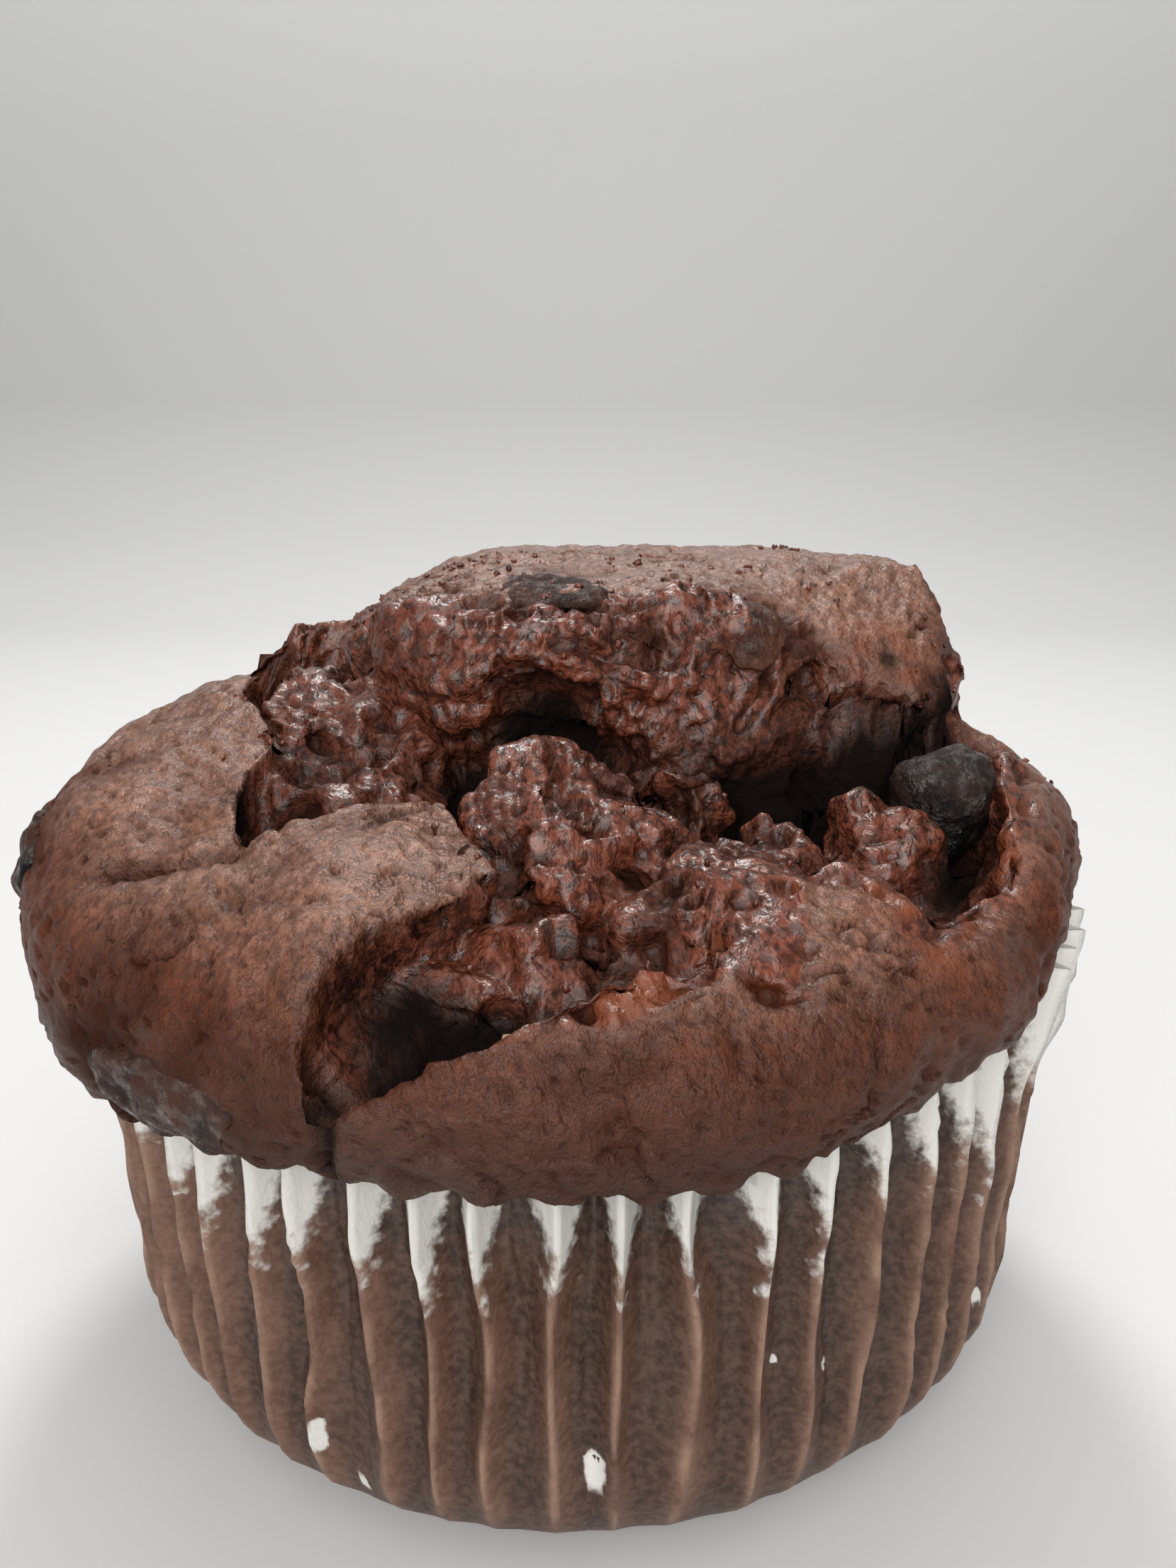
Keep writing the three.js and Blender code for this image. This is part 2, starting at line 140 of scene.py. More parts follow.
table_paint_and_shade, tree, shader = new_material("table_paint_and_shade")
shader.inputs["Roughness"].default_value = 0.75
where = add_node(tree, "TexCoord")
split = add_node(tree, "SeparateXYZ")
rise = add_node(tree, "MapRange", {"From Min": 0.0, "From Max": PAINT_RISE * MM})
# The ramp paints those greys up the rise, as painted shade on the sweep.
paint = add_node(tree, "ValToRGB")
stops = paint.color_ramp.elements
while len(stops) < len(SWEEP_SHADE_GREYS):
    stops.new(0.5)
for stop, (height, grey) in zip(stops, SWEEP_SHADE_GREYS):
    stop.position, stop.color = height, (grey, grey, grey, 1)
tree.links.new(where.outputs["Object"], split.inputs["Vector"])
tree.links.new(split.outputs["Z"], rise.inputs["Value"])
tree.links.new(rise.outputs["Result"], paint.inputs["Fac"])
tree.links.new(paint.outputs["Color"], shader.inputs["Base Color"])
bend = np.linspace(0, math.pi / 2, 24)
sweep_y = SWEEP_FLOOR_END + SWEEP_BEND * np.sin(bend)
sweep_y = np.concatenate([[SWEEP_FRONT], sweep_y, [SWEEP_FLOOR_END + SWEEP_BEND]])
sweep_z = np.concatenate([[0], SWEEP_BEND * (1 - np.cos(bend)), [SWEEP_TOP]])
sweep = np.stack([
    np.stack([np.full(len(sweep_y), side * SWEEP_HALF_WIDTH), sweep_y, sweep_z], -1) for side in (-1, 1)
]).reshape(-1, 3)
side_count = len(sweep_y)
near_side = np.arange(side_count - 1)
sweep_faces = np.stack([near_side, near_side + side_count, near_side + side_count + 1, near_side + 1], -1)
table = make_mesh("table", sweep, sweep_faces.tolist(), table_paint_and_shade)

# ---- Cake ----
# A rich chocolate batter that rose over the rim of its case and set in a dull brown crust. The
# crust tore while the middle was still wet, so a block burst up at the rear, and lumps of moist
# open crumb show in the gap. Crust, lumps and pores are all one solid of cake.

TURN = 2 * math.pi
PLEATS = 58
RIM_HEIGHT = 40.5
BARE_FROM, BARE_TO, BARE_BLEND = -37, 30, 4       # bearings where the crown leaves the paper rim bare
CROWN_RADIUS = 43.6
RIM_BULGES = [(195, 60, 1.7), (-5, 45, -1.8), (120, 50, 0.5)]       # bearing, width, how far it goes out
WIDEST, WIDEST_BARE = 41.0, 43.5                  # height at which the crown is widest
LIP_HEIGHT, LIP_CLIMB, LIP_CLIMB_SPAN = 34.2, 6.2, 48
LIP_SAG, LIP_SAG_BEARING, LIP_SAG_WIDTH = 4.8, 200, 22
PLATE_TOP, LEFT_LOBE_TOP, RIGHT_LOBE_TOP, REAR_TOP = 53.8, 59, 51.8, 60
OPENING_FLOOR = 43.5
CRACK_DEPTH = 6
LIP_SLANT, LIP_SLANT_FROM = 0.42, 7               # the front lip's slant in plan, and where it is level
NOTCH_BEARING, RIM_PER_DEGREE = 251.4, 0.77       # where the crack runs out through the lip
BLOCK_TOP, BLOCK_FACE_FOOT, BLOCK_FOOT, BLOCK_DOME = 66.0, 55.5, 46, 67.5
CRUST_SIDE, BLOCK_SIDE = 0.9, 1.3                 # half width of a torn side
LIP_INNER, LIP_INNER_BARE = 41.7, 41.2            # radius at which the lip meets the paper
BASE_GAP = 0.9                                    # the cake's base above the table
SKIN_LOW_FROM, SKIN_LOW_TO = 46.5, 36.5           # heights over which the skin darkens downwards

COLUMNS, CROWN_ROWS, LIP_ROWS = 372, 222, 34
TRIAL_ROWS, BLUR_REACH = 900, 6                   # for spreading the rows, and evening them out

# Plan outlines: the torn gap in the crust, and the raised block.
OPENING = [
    (-21.8, -22.6), (-19, -22.2), (-15.3, -20.8), (-10.2, -17.4), (-5, -24.5), (-3.4, -28.5),
    (-8.5, -34.4), (-12.6, -37.6), (-14.4, -39.8), (-13.4, -41.3), (-11, -41.9), (-8.2, -41.4),
    (-5.2, -40.2), (-1, -38.6), (3, -37), (8.6, -34.6), (11, -27), (20, -25), (24, -27.6),
    (28.8, -21.2), (29.8, -16.8), (31.2, -9.5), (33.6, -5), (35.5, 1), (0, 16), (-16, 18), (-19.5, 30),
    (-21.5, 22), (-29, 22.3), (-37, 15), (-28.5, 8), (-27.6, -3), (-22.8, -9.6), (-23.3, -16),
]
BLOCK = [
    (-22.4, 13), (-19.5, 4), (-14.5, -3), (-9, -6.5), (3, -7), (15, -5), (27, -4.2), (32, -4),
    (37.4, 6), (37.8, 12), (38, 19), (44, 27), (34, 52), (0, 60), (-27, 50), (-24.5, 28),
]


def mix(first, second, part):
    """first at part 0, second at part 1, and a straight line between."""
    return first + (second - first) * part


def ease(start, end, value):
    """0 up to start, 1 from end on, and between them 3 u squared less 2 u cubed."""
    u = np.clip((value - start) / (end - start), 0, 1)
    return u * u * (3 - 2 * u)


def bell(value, width):
    """1 at 0, falling away both ways as e to the minus square of value over width."""
    return np.exp(-((value / width) ** 2))


def near_edge(depth, reach):
    """1 at an edge, fading inwards as e to the minus depth over reach."""
    return np.exp(-np.clip(depth, 0, 9) / reach)


def bearing_gap(bearing, other):
    """Smallest angle from one bearing to another, in degrees."""
    return (bearing - other + 540) % 360 - 180


def cell_random(i, j, k, seed):
    """A repeatable number from 0 to 1 for each whole-numbered cell: the end digits of a large sine."""
    large = np.sin(i * 127.1 + j * 311.7 + k * 74.7 + seed * 53.3) * 43758.5453
    return large - np.floor(large)


def lumps(points, size, seed):
    """Soft lumps about size wide, from -1 to 1: random corner values of a cubic lattice, blended."""
    cell = np.floor(points / size)
    part = points / size - cell
    part = part**3 * (part * (part * 6 - 15) + 10)
    total = 0
    for dx in (0, 1):
        for dy in (0, 1):
            for dz in (0, 1):
                weight = np.prod(np.where((dx, dy, dz), part, 1 - part), -1)
                corner = np.moveaxis(cell + (dx, dy, dz), -1, 0)
                total = total + weight * cell_random(*corner, seed)
    return 2 * total - 1


def bubbles(points, size, seed):
    """Distance to the nearest of scattered centres, one in each cube of that size, as a part of the
    size, and that centre's own random number."""
    cell = np.floor(points / size)
    nearest = np.full(points.shape[:-1], 9.0)
    own = np.zeros(points.shape[:-1])
    for dx in (-1, 0, 1):
        for dy in (-1, 0, 1):
            for dz in (-1, 0, 1):
                at = cell + (dx, dy, dz)
                centre = np.stack([cell_random(*np.moveaxis(at, -1, 0), seed + n) for n in (1, 2, 3)], -1)
                away = np.linalg.norm(at + centre - points / size, axis=-1)
                own = np.where(away < nearest, cell_random(*np.moveaxis(at, -1, 0), seed + 4), own)
                nearest = np.minimum(nearest, away)
    return nearest, own


def smooth_loop(points, steps=4):
    """A closed curve through the points: the Catmull-Rom cubic between each two, in steps."""
    here = np.array(points, float)
    before, after, later = np.roll(here, 1, 0), np.roll(here, -1, 0), np.roll(here, -2, 0)
    t = (np.arange(steps) / steps)[None, :, None]
    a, b, c, d = (q[:, None, :] for q in (before, here, after, later))
    curve = 0.5 * (2 * b + (c - a) * t + (2 * a - 5 * b + 4 * c - d) * t**2 + (3 * b - a - 3 * c + d) * t**3)
    return curve.reshape(-1, 2)


def depth_inside(x, y, loop):
    """Distance from plan points to a closed outline, positive inside it."""
    nearest = np.full(x.shape, 1e9)
    inside = np.zeros(x.shape, bool)
    for (ax, ay), (bx, by) in zip(loop, np.roll(loop, -1, 0)):
        ex, ey = bx - ax, by - ay
        t = np.clip(((x - ax) * ex + (y - ay) * ey) / (ex * ex + ey * ey), 0, 1)
        nearest = np.minimum(nearest, (x - ax - t * ex) ** 2 + (y - ay - t * ey) ** 2)
        if ay != by:
            inside ^= ((ay > y) != (by > y)) & (x < (bx - ax) * (y - ay) / (by - ay) + ax)
    return np.where(inside, 1, -1) * np.sqrt(nearest)


def bareness(bearing):
    """0 where the crown hangs over the paper rim, 1 where the rim is bare."""
    middle, half = (BARE_FROM + BARE_TO) / 2, (BARE_TO - BARE_FROM) / 2
    return 1 - ease(half - BARE_BLEND, half + BARE_BLEND, np.abs(bearing_gap(bearing, middle)))


def crown_rim(bearing):
    """The crown's greatest radius, the height where it has it, and the lowest height of its lip."""
    def towards(direction, width):
        """1 in one direction, falling away on both sides of it as a bell of the angle."""
        return bell(bearing_gap(bearing, direction), width)

    from_right = bearing_gap(bearing, 0)
    climb = np.minimum(from_right + 77, 75 - from_right) / LIP_CLIMB_SPAN
    radius = CROWN_RADIUS
    for direction, width, out in RIM_BULGES:
        radius = radius + out * towards(direction, width)
    widest = mix(WIDEST - 2.6 * towards(262, 50), WIDEST_BARE, ease(0, 0.7, bareness(bearing)))
    lip = LIP_HEIGHT - LIP_SAG * towards(LIP_SAG_BEARING, LIP_SAG_WIDTH) + LIP_CLIMB * np.clip(climb, 0, 1)
    return radius, widest, lip


def crust_height(x, y):
    """Height of the crust before it rolls off at the rim: plate and lobe either side of a crease at
    the left, a low lobe at the right, and a flap standing up at the rear left."""
    crease_y = -25.5 + 7 * ease(-26, -9, x)
    crease_width = 1.2 + 16 * (1 - ease(-36, -27, x))
    plate = PLATE_TOP + bell(x + 11, 8) * bell(y + 35, 6)
    lobe = LEFT_LOBE_TOP - 6.6 * (1 - ease(-25, 5, y)) * ease(-40, -27, x)
    west = mix(plate, lobe, ease(-1, 1, (y - crease_y) / crease_width))
    east = RIGHT_LOBE_TOP + 5.6 * ease(20, 34, x) * ease(-34, -14, y)
    front = mix(west, east, ease(-17, -6, x))
    flap = 8 * bell(x + 30, 9) * bell(y - 22, 7)
    crease = 1.6 * (bell(y - crease_y - 0.6, 0.8) * ease(-36, -32, x) * (1 - ease(-24.5, -21, x)))
    return mix(front, REAR_TOP, ease(8, 26, y)) + flap - crease


def dome(r, radius, power=3.0, root=2.3):
    """Roll-off of a domed top, from 1 at the centre to 0 at the rim: the root of 1 less a power of
    the share of the radius."""
    return (1 - np.clip(r / radius, 0, 1) ** power) ** (1 / root)


# Lumps of crumb in the gap: centre, half sizes and turn of an ellipse in plan, half width of the
# side, height of its foot, and the top as a height at x, y and depth d inside the ellipse.
CRUMB_LUMPS = [
    ((-19.5, -5), (8, 15.5), 10, 1.6, 43,
     lambda x, y, d: 50.9 + 0.31 * np.clip(y + 16, -6, 19) - 0.25 * np.clip(x + 18, 0, 8)
     - 0.6 * near_edge(d, 1.4)),
    ((0.4, -18.4), (8.9, 9), 0, 1.5, 43,
     lambda x, y, d: 54.9 - 0.3 * np.maximum(x + 2, 0) - 0.42 * np.maximum(-14 - y, 0)
     - 2.2 * near_edge(d, 1.6)),
    ((11, -24), (11.5, 5.8), 49, 2.2, 43,
     lambda x, y, d: 49.7 - 0.2 * np.clip(10 - x, 0, 9) - 0.22 * np.clip(-26 - y, 0, 9)
     - 0.6 * near_edge(d, 1.2)),
    ((24.3, -14.6), (5.6, 6.2), 0, 1.6, 42,
     lambda x, y, d: 50.4 + 0.18 * (y + 12) - 3 * near_edge(d, 1.8)),
    ((8.8, -8.5), (5.4, 5.0), 0, 2.2, 43,
     lambda x, y, d: 52.5 - 2.6 * near_edge(d, 1.6)),
    ((-1.2, -30.6), (5, 4.2), 0, 2.2, 42,
     lambda x, y, d: 46.4 - near_edge(d, 1.6)),
    ((-6.9, -34.0), (5.8, 3.6), 25, 1.8, 38,
     lambda x, y, d: 44.9 - 2 * near_edge(d, 1.4)),
]

opening_loop = smooth_loop(OPENING)
block_loop = smooth_loop(BLOCK)


def ellipse_depth(x, y, centre, half, turn):
    """Roughly how far a plan point lies inside an ellipse."""
    c, s = math.cos(math.radians(turn)), math.sin(math.radians(turn))
    u = (x - centre[0]) * c + (y - centre[1]) * s
    v = (y - centre[1]) * c - (x - centre[0]) * s
    return (1 - np.hypot(u / half[0], v / half[1])) * min(half)


def edged(top, depth, side, foot):
    """A top inside an outline that falls to its foot across the outline, and nothing outside."""
    return np.where(depth < -side, -1e3, mix(foot, top, ease(-side, side, depth)))


def block_height(x, y, depth, bearing):
    """The raised block: nearly level, falling to the front right and the left, domed behind, with a
    shoulder rounded down to its torn face."""
    radius, widest, _ = crown_rim(bearing)
    level = BLOCK_TOP - 0.0026 * np.maximum(24 - y, 0) ** 2 - 0.022 * np.maximum(-5.5 - x, 0) ** 2
    fall = 0.033 * np.maximum(x - 12, 0) * np.maximum(12 - y, 0) + 0.5 * np.maximum(x - 32.6, 0) ** 1.3
    squareness = 5 + 3 * bell(bearing_gap(bearing, 15), 28)
    rear = widest + 0.6 + (BLOCK_DOME - widest) * dome(np.hypot(x, y), radius, squareness, 2)
    crust = np.minimum(level, rear) - fall
    width = mix(mix(3.5, 7.5, ease(-17, -9, x)), 4.5, ease(28, 34, x))
    shoulder = 1 - (1 - np.clip(depth / width, 0, 1)) ** 2.4
    return np.minimum(crust, mix(BLOCK_FACE_FOOT, crust, shoulder))


def crown_surface(x, y):
    """Height of the crown at plan points, how much of it is crust, and the depths inside the gap
    and the block. The height is the greatest of the gap's floor, the lumps, the crust and the block."""
    r, bearing = np.hypot(x, y), np.degrees(np.arctan2(y, x))
    radius, widest, _ = crown_rim(bearing)
    flat = np.stack([x, y, np.zeros_like(x)], -1)
    ragged_x = x + 1.0 * lumps(flat, 5, 1) + 0.3 * lumps(flat, 2.3, 2)
    ragged_y = y + 1.0 * lumps(flat, 5, 3) + 0.3 * lumps(flat, 2.3, 4)
    crust = widest + (crust_height(x, y) - widest) * dome(r, radius)
    gap = depth_inside(ragged_x, ragged_y, opening_loop)
    in_block = depth_inside(ragged_x, ragged_y, block_loop)
    crack = bell(x + 7, 9) * bell(y + 39 - 0.3 * (x + 7), 2.8)
    floor = OPENING_FLOOR + 1.5 * ease(2, 7, gap) - CRACK_DEPTH * crack
    height = np.minimum(floor, crust - 2.5 - 3 * crack)
    pit = 6 * bell(np.hypot(x + 21.8, y + 17), 2)
    for centre, half, turn, side, foot, top in CRUMB_LUMPS:
        depth = ellipse_depth(ragged_x, ragged_y, centre, half, turn)
        height = np.maximum(height, edged(top(x, y, depth) - pit, depth, side, foot))
    side = mix(CRUST_SIDE, 2.6, np.maximum(ease(26, 31, x), ease(4, 10, y)))
    height = height - 2.6 * bell(in_block + 1.3, 1.4) * ease(-13, -8, x) * (1 - ease(-2, 2, y))
    skin = edged(crust - 0.7 * near_edge(-gap, 0.8), -gap, side, np.minimum(42, crust - 4))
    block_top = block_height(x, y, in_block, bearing)
    block = edged(block_top, in_block, BLOCK_SIDE, np.minimum(BLOCK_FOOT, block_top - 1))
    baked_from = mix(mix(3.0, 7.0, ease(-19, -10, x)), 2.2, ease(17, 27, x))
    torn_strip = 3.6 * ease(-7, -1, x) * (1 - ease(-12, -6, y)) * (1 + 0.7 * lumps(flat, 4.5, 5))
    on_block, on_skin = ease(-1, 1.2, in_block - baked_from), ease(0.1, 1.3, -gap - torn_strip)
    on_skin = on_skin * (1 - np.clip(1.5 * bell(x + 29, 6) * bell(y - 21, 6), 0, 0.9))
    baked = np.where(block > np.maximum(height, skin), on_block, on_skin)
    is_crust = np.where(np.maximum(skin, block) > height, baked, 0)
    is_crust = np.maximum(is_crust, ease(0.91, 0.955, r / radius))
    return np.maximum(np.maximum(height, skin), block), is_crust, gap, in_block


# Columns stand closer together round the front, where the torn side is.
even = np.linspace(0, 360, 2001)
crowding = 1 + 0.8 * bell(bearing_gap(even, 270), 62)
share = np.concatenate([[0], np.cumsum((crowding[1:] + crowding[:-1]) / 2)])
bearings = np.interp(np.linspace(0, share[-1], COLUMNS, endpoint=False), share, even)
radius, widest, lip = crown_rim(bearings)
east, north = np.cos(np.radians(bearings))[:, None], np.sin(np.radians(bearings))[:, None]

# Rows lie evenly along the surface, steep sides included, and alike in neighbouring columns.
trial = np.sin(np.linspace(0, math.pi / 2, TRIAL_ROWS))
trial_r = radius[:, None] * trial
trial_z = crown_surface(trial_r * east, trial_r * north)[0]
along = np.hypot(np.diff(trial_r, axis=1), np.minimum(np.abs(np.diff(trial_z, axis=1)), 3))
along = np.concatenate([np.zeros((COLUMNS, 1)), np.cumsum(along, 1)], 1)
along /= along[:, -1:]
blur = np.hanning(2 * BLUR_REACH + 1) / np.hanning(2 * BLUR_REACH + 1).sum()
wrapped = np.concatenate([along[-BLUR_REACH:], along, along[:BLUR_REACH]])
along = np.stack([np.convolve(wrapped[:, j], blur, "valid") for j in range(along.shape[1])], 1)
rows = np.linspace(0, 1, CROWN_ROWS + 1)[1:]
crown_r = radius[:, None] * np.stack([np.interp(rows, along[i], trial) for i in range(COLUMNS)])
crown_x, crown_y = crown_r * east, crown_r * north
crown_z, crown_crust, crown_gap, crown_in_block = crown_surface(crown_x, crown_y)

# The lip curls under to the paper, dipping into each fold, and the body fills the case.
fall_angle = (np.arange(1, LIP_ROWS + 1) / LIP_ROWS) * math.pi / 2
raise_part = ease(0, 0.6, bareness(bearings))[:, None]
dips = 0.4 * np.cos(np.radians(bearings * PLEATS))[:, None] * (1 - raise_part)
lip_z = mix(lip[:, None], RIM_HEIGHT + 0.3, raise_part) + dips
lip_in = mix(LIP_INNER, LIP_INNER_BARE, raise_part)
lip_r = radius[:, None] - (radius[:, None] - lip_in) * (1 - np.cos(fall_angle)) ** 1.05
lip_rows_z = crown_z[:, -1:] - (crown_z[:, -1:] - lip_z) * np.sin(fall_angle)
body_profile = [(39.4, lip_z + 0.5), (37.0, lip_z + 0.2), (36.6, 28), (36.4, 12), (33.5, 3.4), (27, BASE_GAP)]
body_r = np.concatenate([r + 0 * lip_z for r, _ in body_profile], 1)
body_z = np.concatenate([z + 0 * lip_z for _, z in body_profile], 1)
cake_r = np.concatenate([crown_r, lip_r, body_r], 1)
cake_z = np.concatenate([crown_z, lip_rows_z, body_z], 1)
below = np.zeros((COLUMNS, LIP_ROWS + len(body_profile)))
is_crust = np.concatenate([crown_crust, below + crown_crust[:, -1:]], 1)
gap = np.concatenate([crown_gap, below - 9], 1)
in_block = np.concatenate([crown_in_block, below - 9], 1)
cake = np.stack([cake_r * east, cake_r * north, cake_z], -1)
shown = np.ones(cake_r.shape)
shown[:, CROWN_ROWS + LIP_ROWS - 3:] = np.array([0.6, 0.3, 0.1] + [0] * len(body_profile))


def outward(points):
    """Unit normals of a grid of points: the cross product of its steps down and across."""
    across = np.roll(points, -1, 0) - np.roll(points, 1, 0)
    down = np.gradient(points, axis=1)
    normal = np.cross(down, across)
    return normal / np.maximum(np.linalg.norm(normal, axis=-1, keepdims=True), 1e-9)


# Hollows in the torn face of the block: place and half width across, height and half height, and
# how far each goes in. The last two bulge out instead.
FACE_HOLLOWS = [
    (-3.0, 5.6, 52.0, 3.8, 5.0), (-15.5, 2.2, 52, 4.0, 2.0), (30.5, 2.8, 53.0, 2.4, 3.2),
    (20.5, 2.6, 57.5, 2.0, 1.8), (5.0, 4.0, 57.8, 2.4, -1.2), (12, 6.5, 51.5, 3.4, -2.4),
]

# Small holes painted black, as the shade in them: place and reach.
BLACK_SHADE_HOLES = [
    ((33.5, 1.5, 55.0), 2.6), ((-21.6, -17, 48.5), 2.8), ((27.5, 1, 58.4), 0.9), ((-16.8, -4, 59), 1.4),
    ((-9.4, -8, 50), 2.2), ((28.1, -16, 43.5), 3.4), ((-24.5, -17.5, 50), 1.4), ((30, -3, 53.2), 2.2),
    ((33.5, -2, 53), 2.2), ((36, -1.5, 53.5), 1.8), ((-10.5, -36, 43.5), 2.6), ((25.5, -4.5, 52), 2.8),
]

# Cake stained dark by melted chocolate, round the chunks: place and reach.
STAINS = [
    ((-2, 2.5, 63.6), 5.5), ((15.4, -1.6, 61.4), 4.5), ((-25.1, -35.7, 37.4), 8.0),
    ((-42.2, -12.4, 44.6), 5.0), ((-30.5, -30.5, 37.5), 4.0),
]

# Orange patches on the block's right slope, the lobe's edge and the small lumps: partly syrupy, less baked
# crumb, partly a painted orange glow of light through thin crumb.
SYRUP_AND_GLOW = [
    ((26.8, 1.5, 60.2), 4.0), ((29.3, 0, 56.7), 1.8), ((20.7, -28, 46), 3.4), ((4.4, -34, 46.6), 3.0),
    ((23.2, -33, 45.2), 1.8), ((33.5, -14, 50), 2.0),
]


def plan_slope(x, y, loop, step=2.4):
    """Which way in plan the depth inside an outline grows fastest."""
    along_x = depth_inside(x + step, y, loop) - depth_inside(x - step, y, loop)
    along_y = depth_inside(x, y + step, loop) - depth_inside(x, y - step, loop)
    return np.stack([along_x, along_y], -1) / (2 * step)


def behind_lip(x, y, back):
    """How far a plan point lies behind a line that slants along the front lip."""
    return y + back - LIP_SLANT * (x + LIP_SLANT_FROM)


# The torn face of the block is hollowed under its shoulder, and the left plate overhangs the crack.
flat_x, flat_y = cake[..., 0].copy(), cake[..., 1].copy()
under_shoulder = (1.0 + 0.6 * lumps(cake, 6, 11)) * bell(cake_z - 50, 4) * bell(in_block - 0.3, 3)
for across, width, height, tall, push in FACE_HOLLOWS:
    dent = push * (1 + 0.55 * lumps(cake, 3.2, 13)) * bell(flat_x - across, width)
    under_shoulder += dent * bell(cake_z - height, tall) * bell(in_block - 0.5, 4)
under_shoulder *= 1 - ease(6, 18, flat_y)
crust_was = crust_height(flat_x, flat_y)
old_top = mix(widest[:, None], crust_was, dome(np.hypot(flat_x, flat_y), radius[:, None]))
under_plate = 2.4 * bell(gap, 1.6) * bell(cake_z - 44.5, 4.5) * (1 - ease(-3, 3, flat_x))
under_plate *= 1 - ease(-24, -19, flat_y)
under_plate *= ease(1.2, 4.2, old_top - cake_z)
under_plate *= ease(0, 2, behind_lip(flat_x, flat_y, 39.6)) * ease(-43.5, -40, flat_y)
cake[..., :2] += under_shoulder[..., None] * plan_slope(flat_x, flat_y, block_loop)
cake[..., :2] -= under_plate[..., None] * plan_slope(flat_x, flat_y, opening_loop)
plain, plain_out = cake.copy(), outward(cake)

# Coarse lumps, then rounded pores, pits and creases, each along the surface's own normal.
from_notch = bearing_gap(bearings, NOTCH_BEARING)[:, None] * RIM_PER_DEGREE
notch = bell(from_notch + 0.5 * lumps(cake, 2.5, 12), 0.7) * ease(41.2, 42.6, cake_r) * (cake_z > 33)
crumb = (1 - is_crust) * shown
skin = is_crust * shown
drift = np.stack([lumps(cake, 4.5, 17 + n) for n in range(3)], -1)
stirred = cake + 1.3 * drift
torn_edge = bell(gap + 2.5, 3) * (is_crust < 0.9) * (flat_x > -4) * (flat_y < -10)
knobbly = 0.72 * (1 - 2 * np.abs(lumps(stirred, 2.9, 22))) + 0.36 * (1 - 2 * np.abs(lumps(cake, 1.45, 23)))
swell = (1 - 0.45 * torn_edge) * 1.05 * lumps(stirred, 5.2, 21) - 0.55 * knobbly + 0.28 * lumps(cake, 0.9, 28)
creased = 1 - 2 * np.abs(lumps(stirred, 2.3, 25))
wrinkle = 0.42 * lumps(cake, 9, 24) + 0.3 * lumps(stirred, 4.0, 29) - 0.15 * creased
wrinkle = wrinkle + 0.15 * lumps(stirred, 1.5, 26) + 0.18 * lumps(cake, 0.8, 27)
calmed = 1 - 0.6 * np.clip(under_plate / 1.6, 0, 1)
pocket = crumb * ease(0.20, 0.55, lumps(stirred, 4.0, 75)) * (1 - 0.7 * torn_edge)
cake += outward(cake) * (calmed * crumb * (swell - 1.7 * pocket) + skin * wrinkle)[..., None]

big_away, big_own = bubbles(stirred, 3.1, 31)
small_away, small_own = bubbles(stirred, 1.5, 41)
big_pore = (1 - ease(0.05, 0.42, big_away)) * (big_own > 0.62)
small_pore = (1 - ease(0.08, 0.42, small_away)) * (small_own > 0.55)
pit_away, pit_own = bubbles(cake, 2.3, 51)
dot_away, dot_own = bubbles(cake, 1.15, 55)
skin_pit = (1 - ease(0.06, 0.22, pit_away)) * (pit_own > 0.35)
skin_dot = (1 - ease(0.08, 0.3, dot_away)) * (dot_own > 0.3)
from_line = np.abs(lumps(stirred, 7, 61) + 0.4 * lumps(cake, 2.2, 62))
skin_line = bell(from_line, 0.06) * ease(-0.15, 0.3, lumps(cake, 9, 63))
crevice = bell(flat_y + 25.1 + 0.21 * (flat_x + 27.2), 0.9)
crevice = crevice * ease(-34, -31.5, flat_x) * (1 - ease(-24, -21, flat_x)) * skin
hollow = 1.1 * notch + 1.5 * crevice + crumb * (1.25 * big_pore + 0.45 * small_pore)
hollow = hollow + skin * (0.5 * skin_pit + 0.26 * skin_dot + 0.75 * skin_line)
# Painted shade in the pores, the dents between the lumps, the skin's pits, dots, lines and creases, and the
# crevice; the stains added further on are the cake's own dark colour.
crumb_pit_shade = 0.9 * big_pore + 0.5 * small_pore + 0.6 * ease(-0.35, -1.3, swell)
skin_pit_shade = 0.7 * skin_pit + 0.55 * skin_dot + 0.5 * skin_line + 0.5 * ease(-0.1, -0.7, wrinkle)
pit_shade_and_stain = np.clip(crumb * crumb_pit_shade + skin * skin_pit_shade + 0.75 * crevice, 0, 1)
cake -= outward(cake) * hollow[..., None]

# Painted shade, for lying deep: below the crust that once closed over it, in the hollows, in the dents
# between the granules, at the foot of the block, in the front crack and in the notch. The same mask takes the
# gloss away there.
now_z = cake[..., 2]
deep = 0.6 * (ease(2.5, 9, np.where(gap > -1.5, old_top - now_z, 0)) * (1 - is_crust) * shown)
in_hollows = ease(1.6, 4.4, under_shoulder + 0.85 * under_plate) * (1 - 0.7 * is_crust)
# Painted shade on the left lump, which lies in the lobe's shade, and on the lower face of the block.
left_lump = 0.34 * bell(flat_x + 19, 8) * bell(flat_y + 8, 12) * crumb
low_face = (0.5 + 0.25 * ease(0, 12, flat_x)) * (1 - ease(49.5, 57, now_z))
low_face = low_face * ease(-2.5, 0, in_block) * (1 - ease(0, 4, flat_y)) * (1 - is_crust) * shown
painted_shade = np.maximum(deep, in_hollows)
for part in (0.6 * pocket, 0.34 * crumb * ease(-0.1, -1.2, swell), left_lump, low_face):
    painted_shade = np.maximum(painted_shade, part)
foot = bell(in_block + 0.6, 1.7) * (1 - ease(47, 50.5, now_z))
foot = foot * ease(-14, -8, flat_x) * (1 - ease(-1, 4, flat_y))
from_crack = behind_lip(flat_x, flat_y, 38.4)
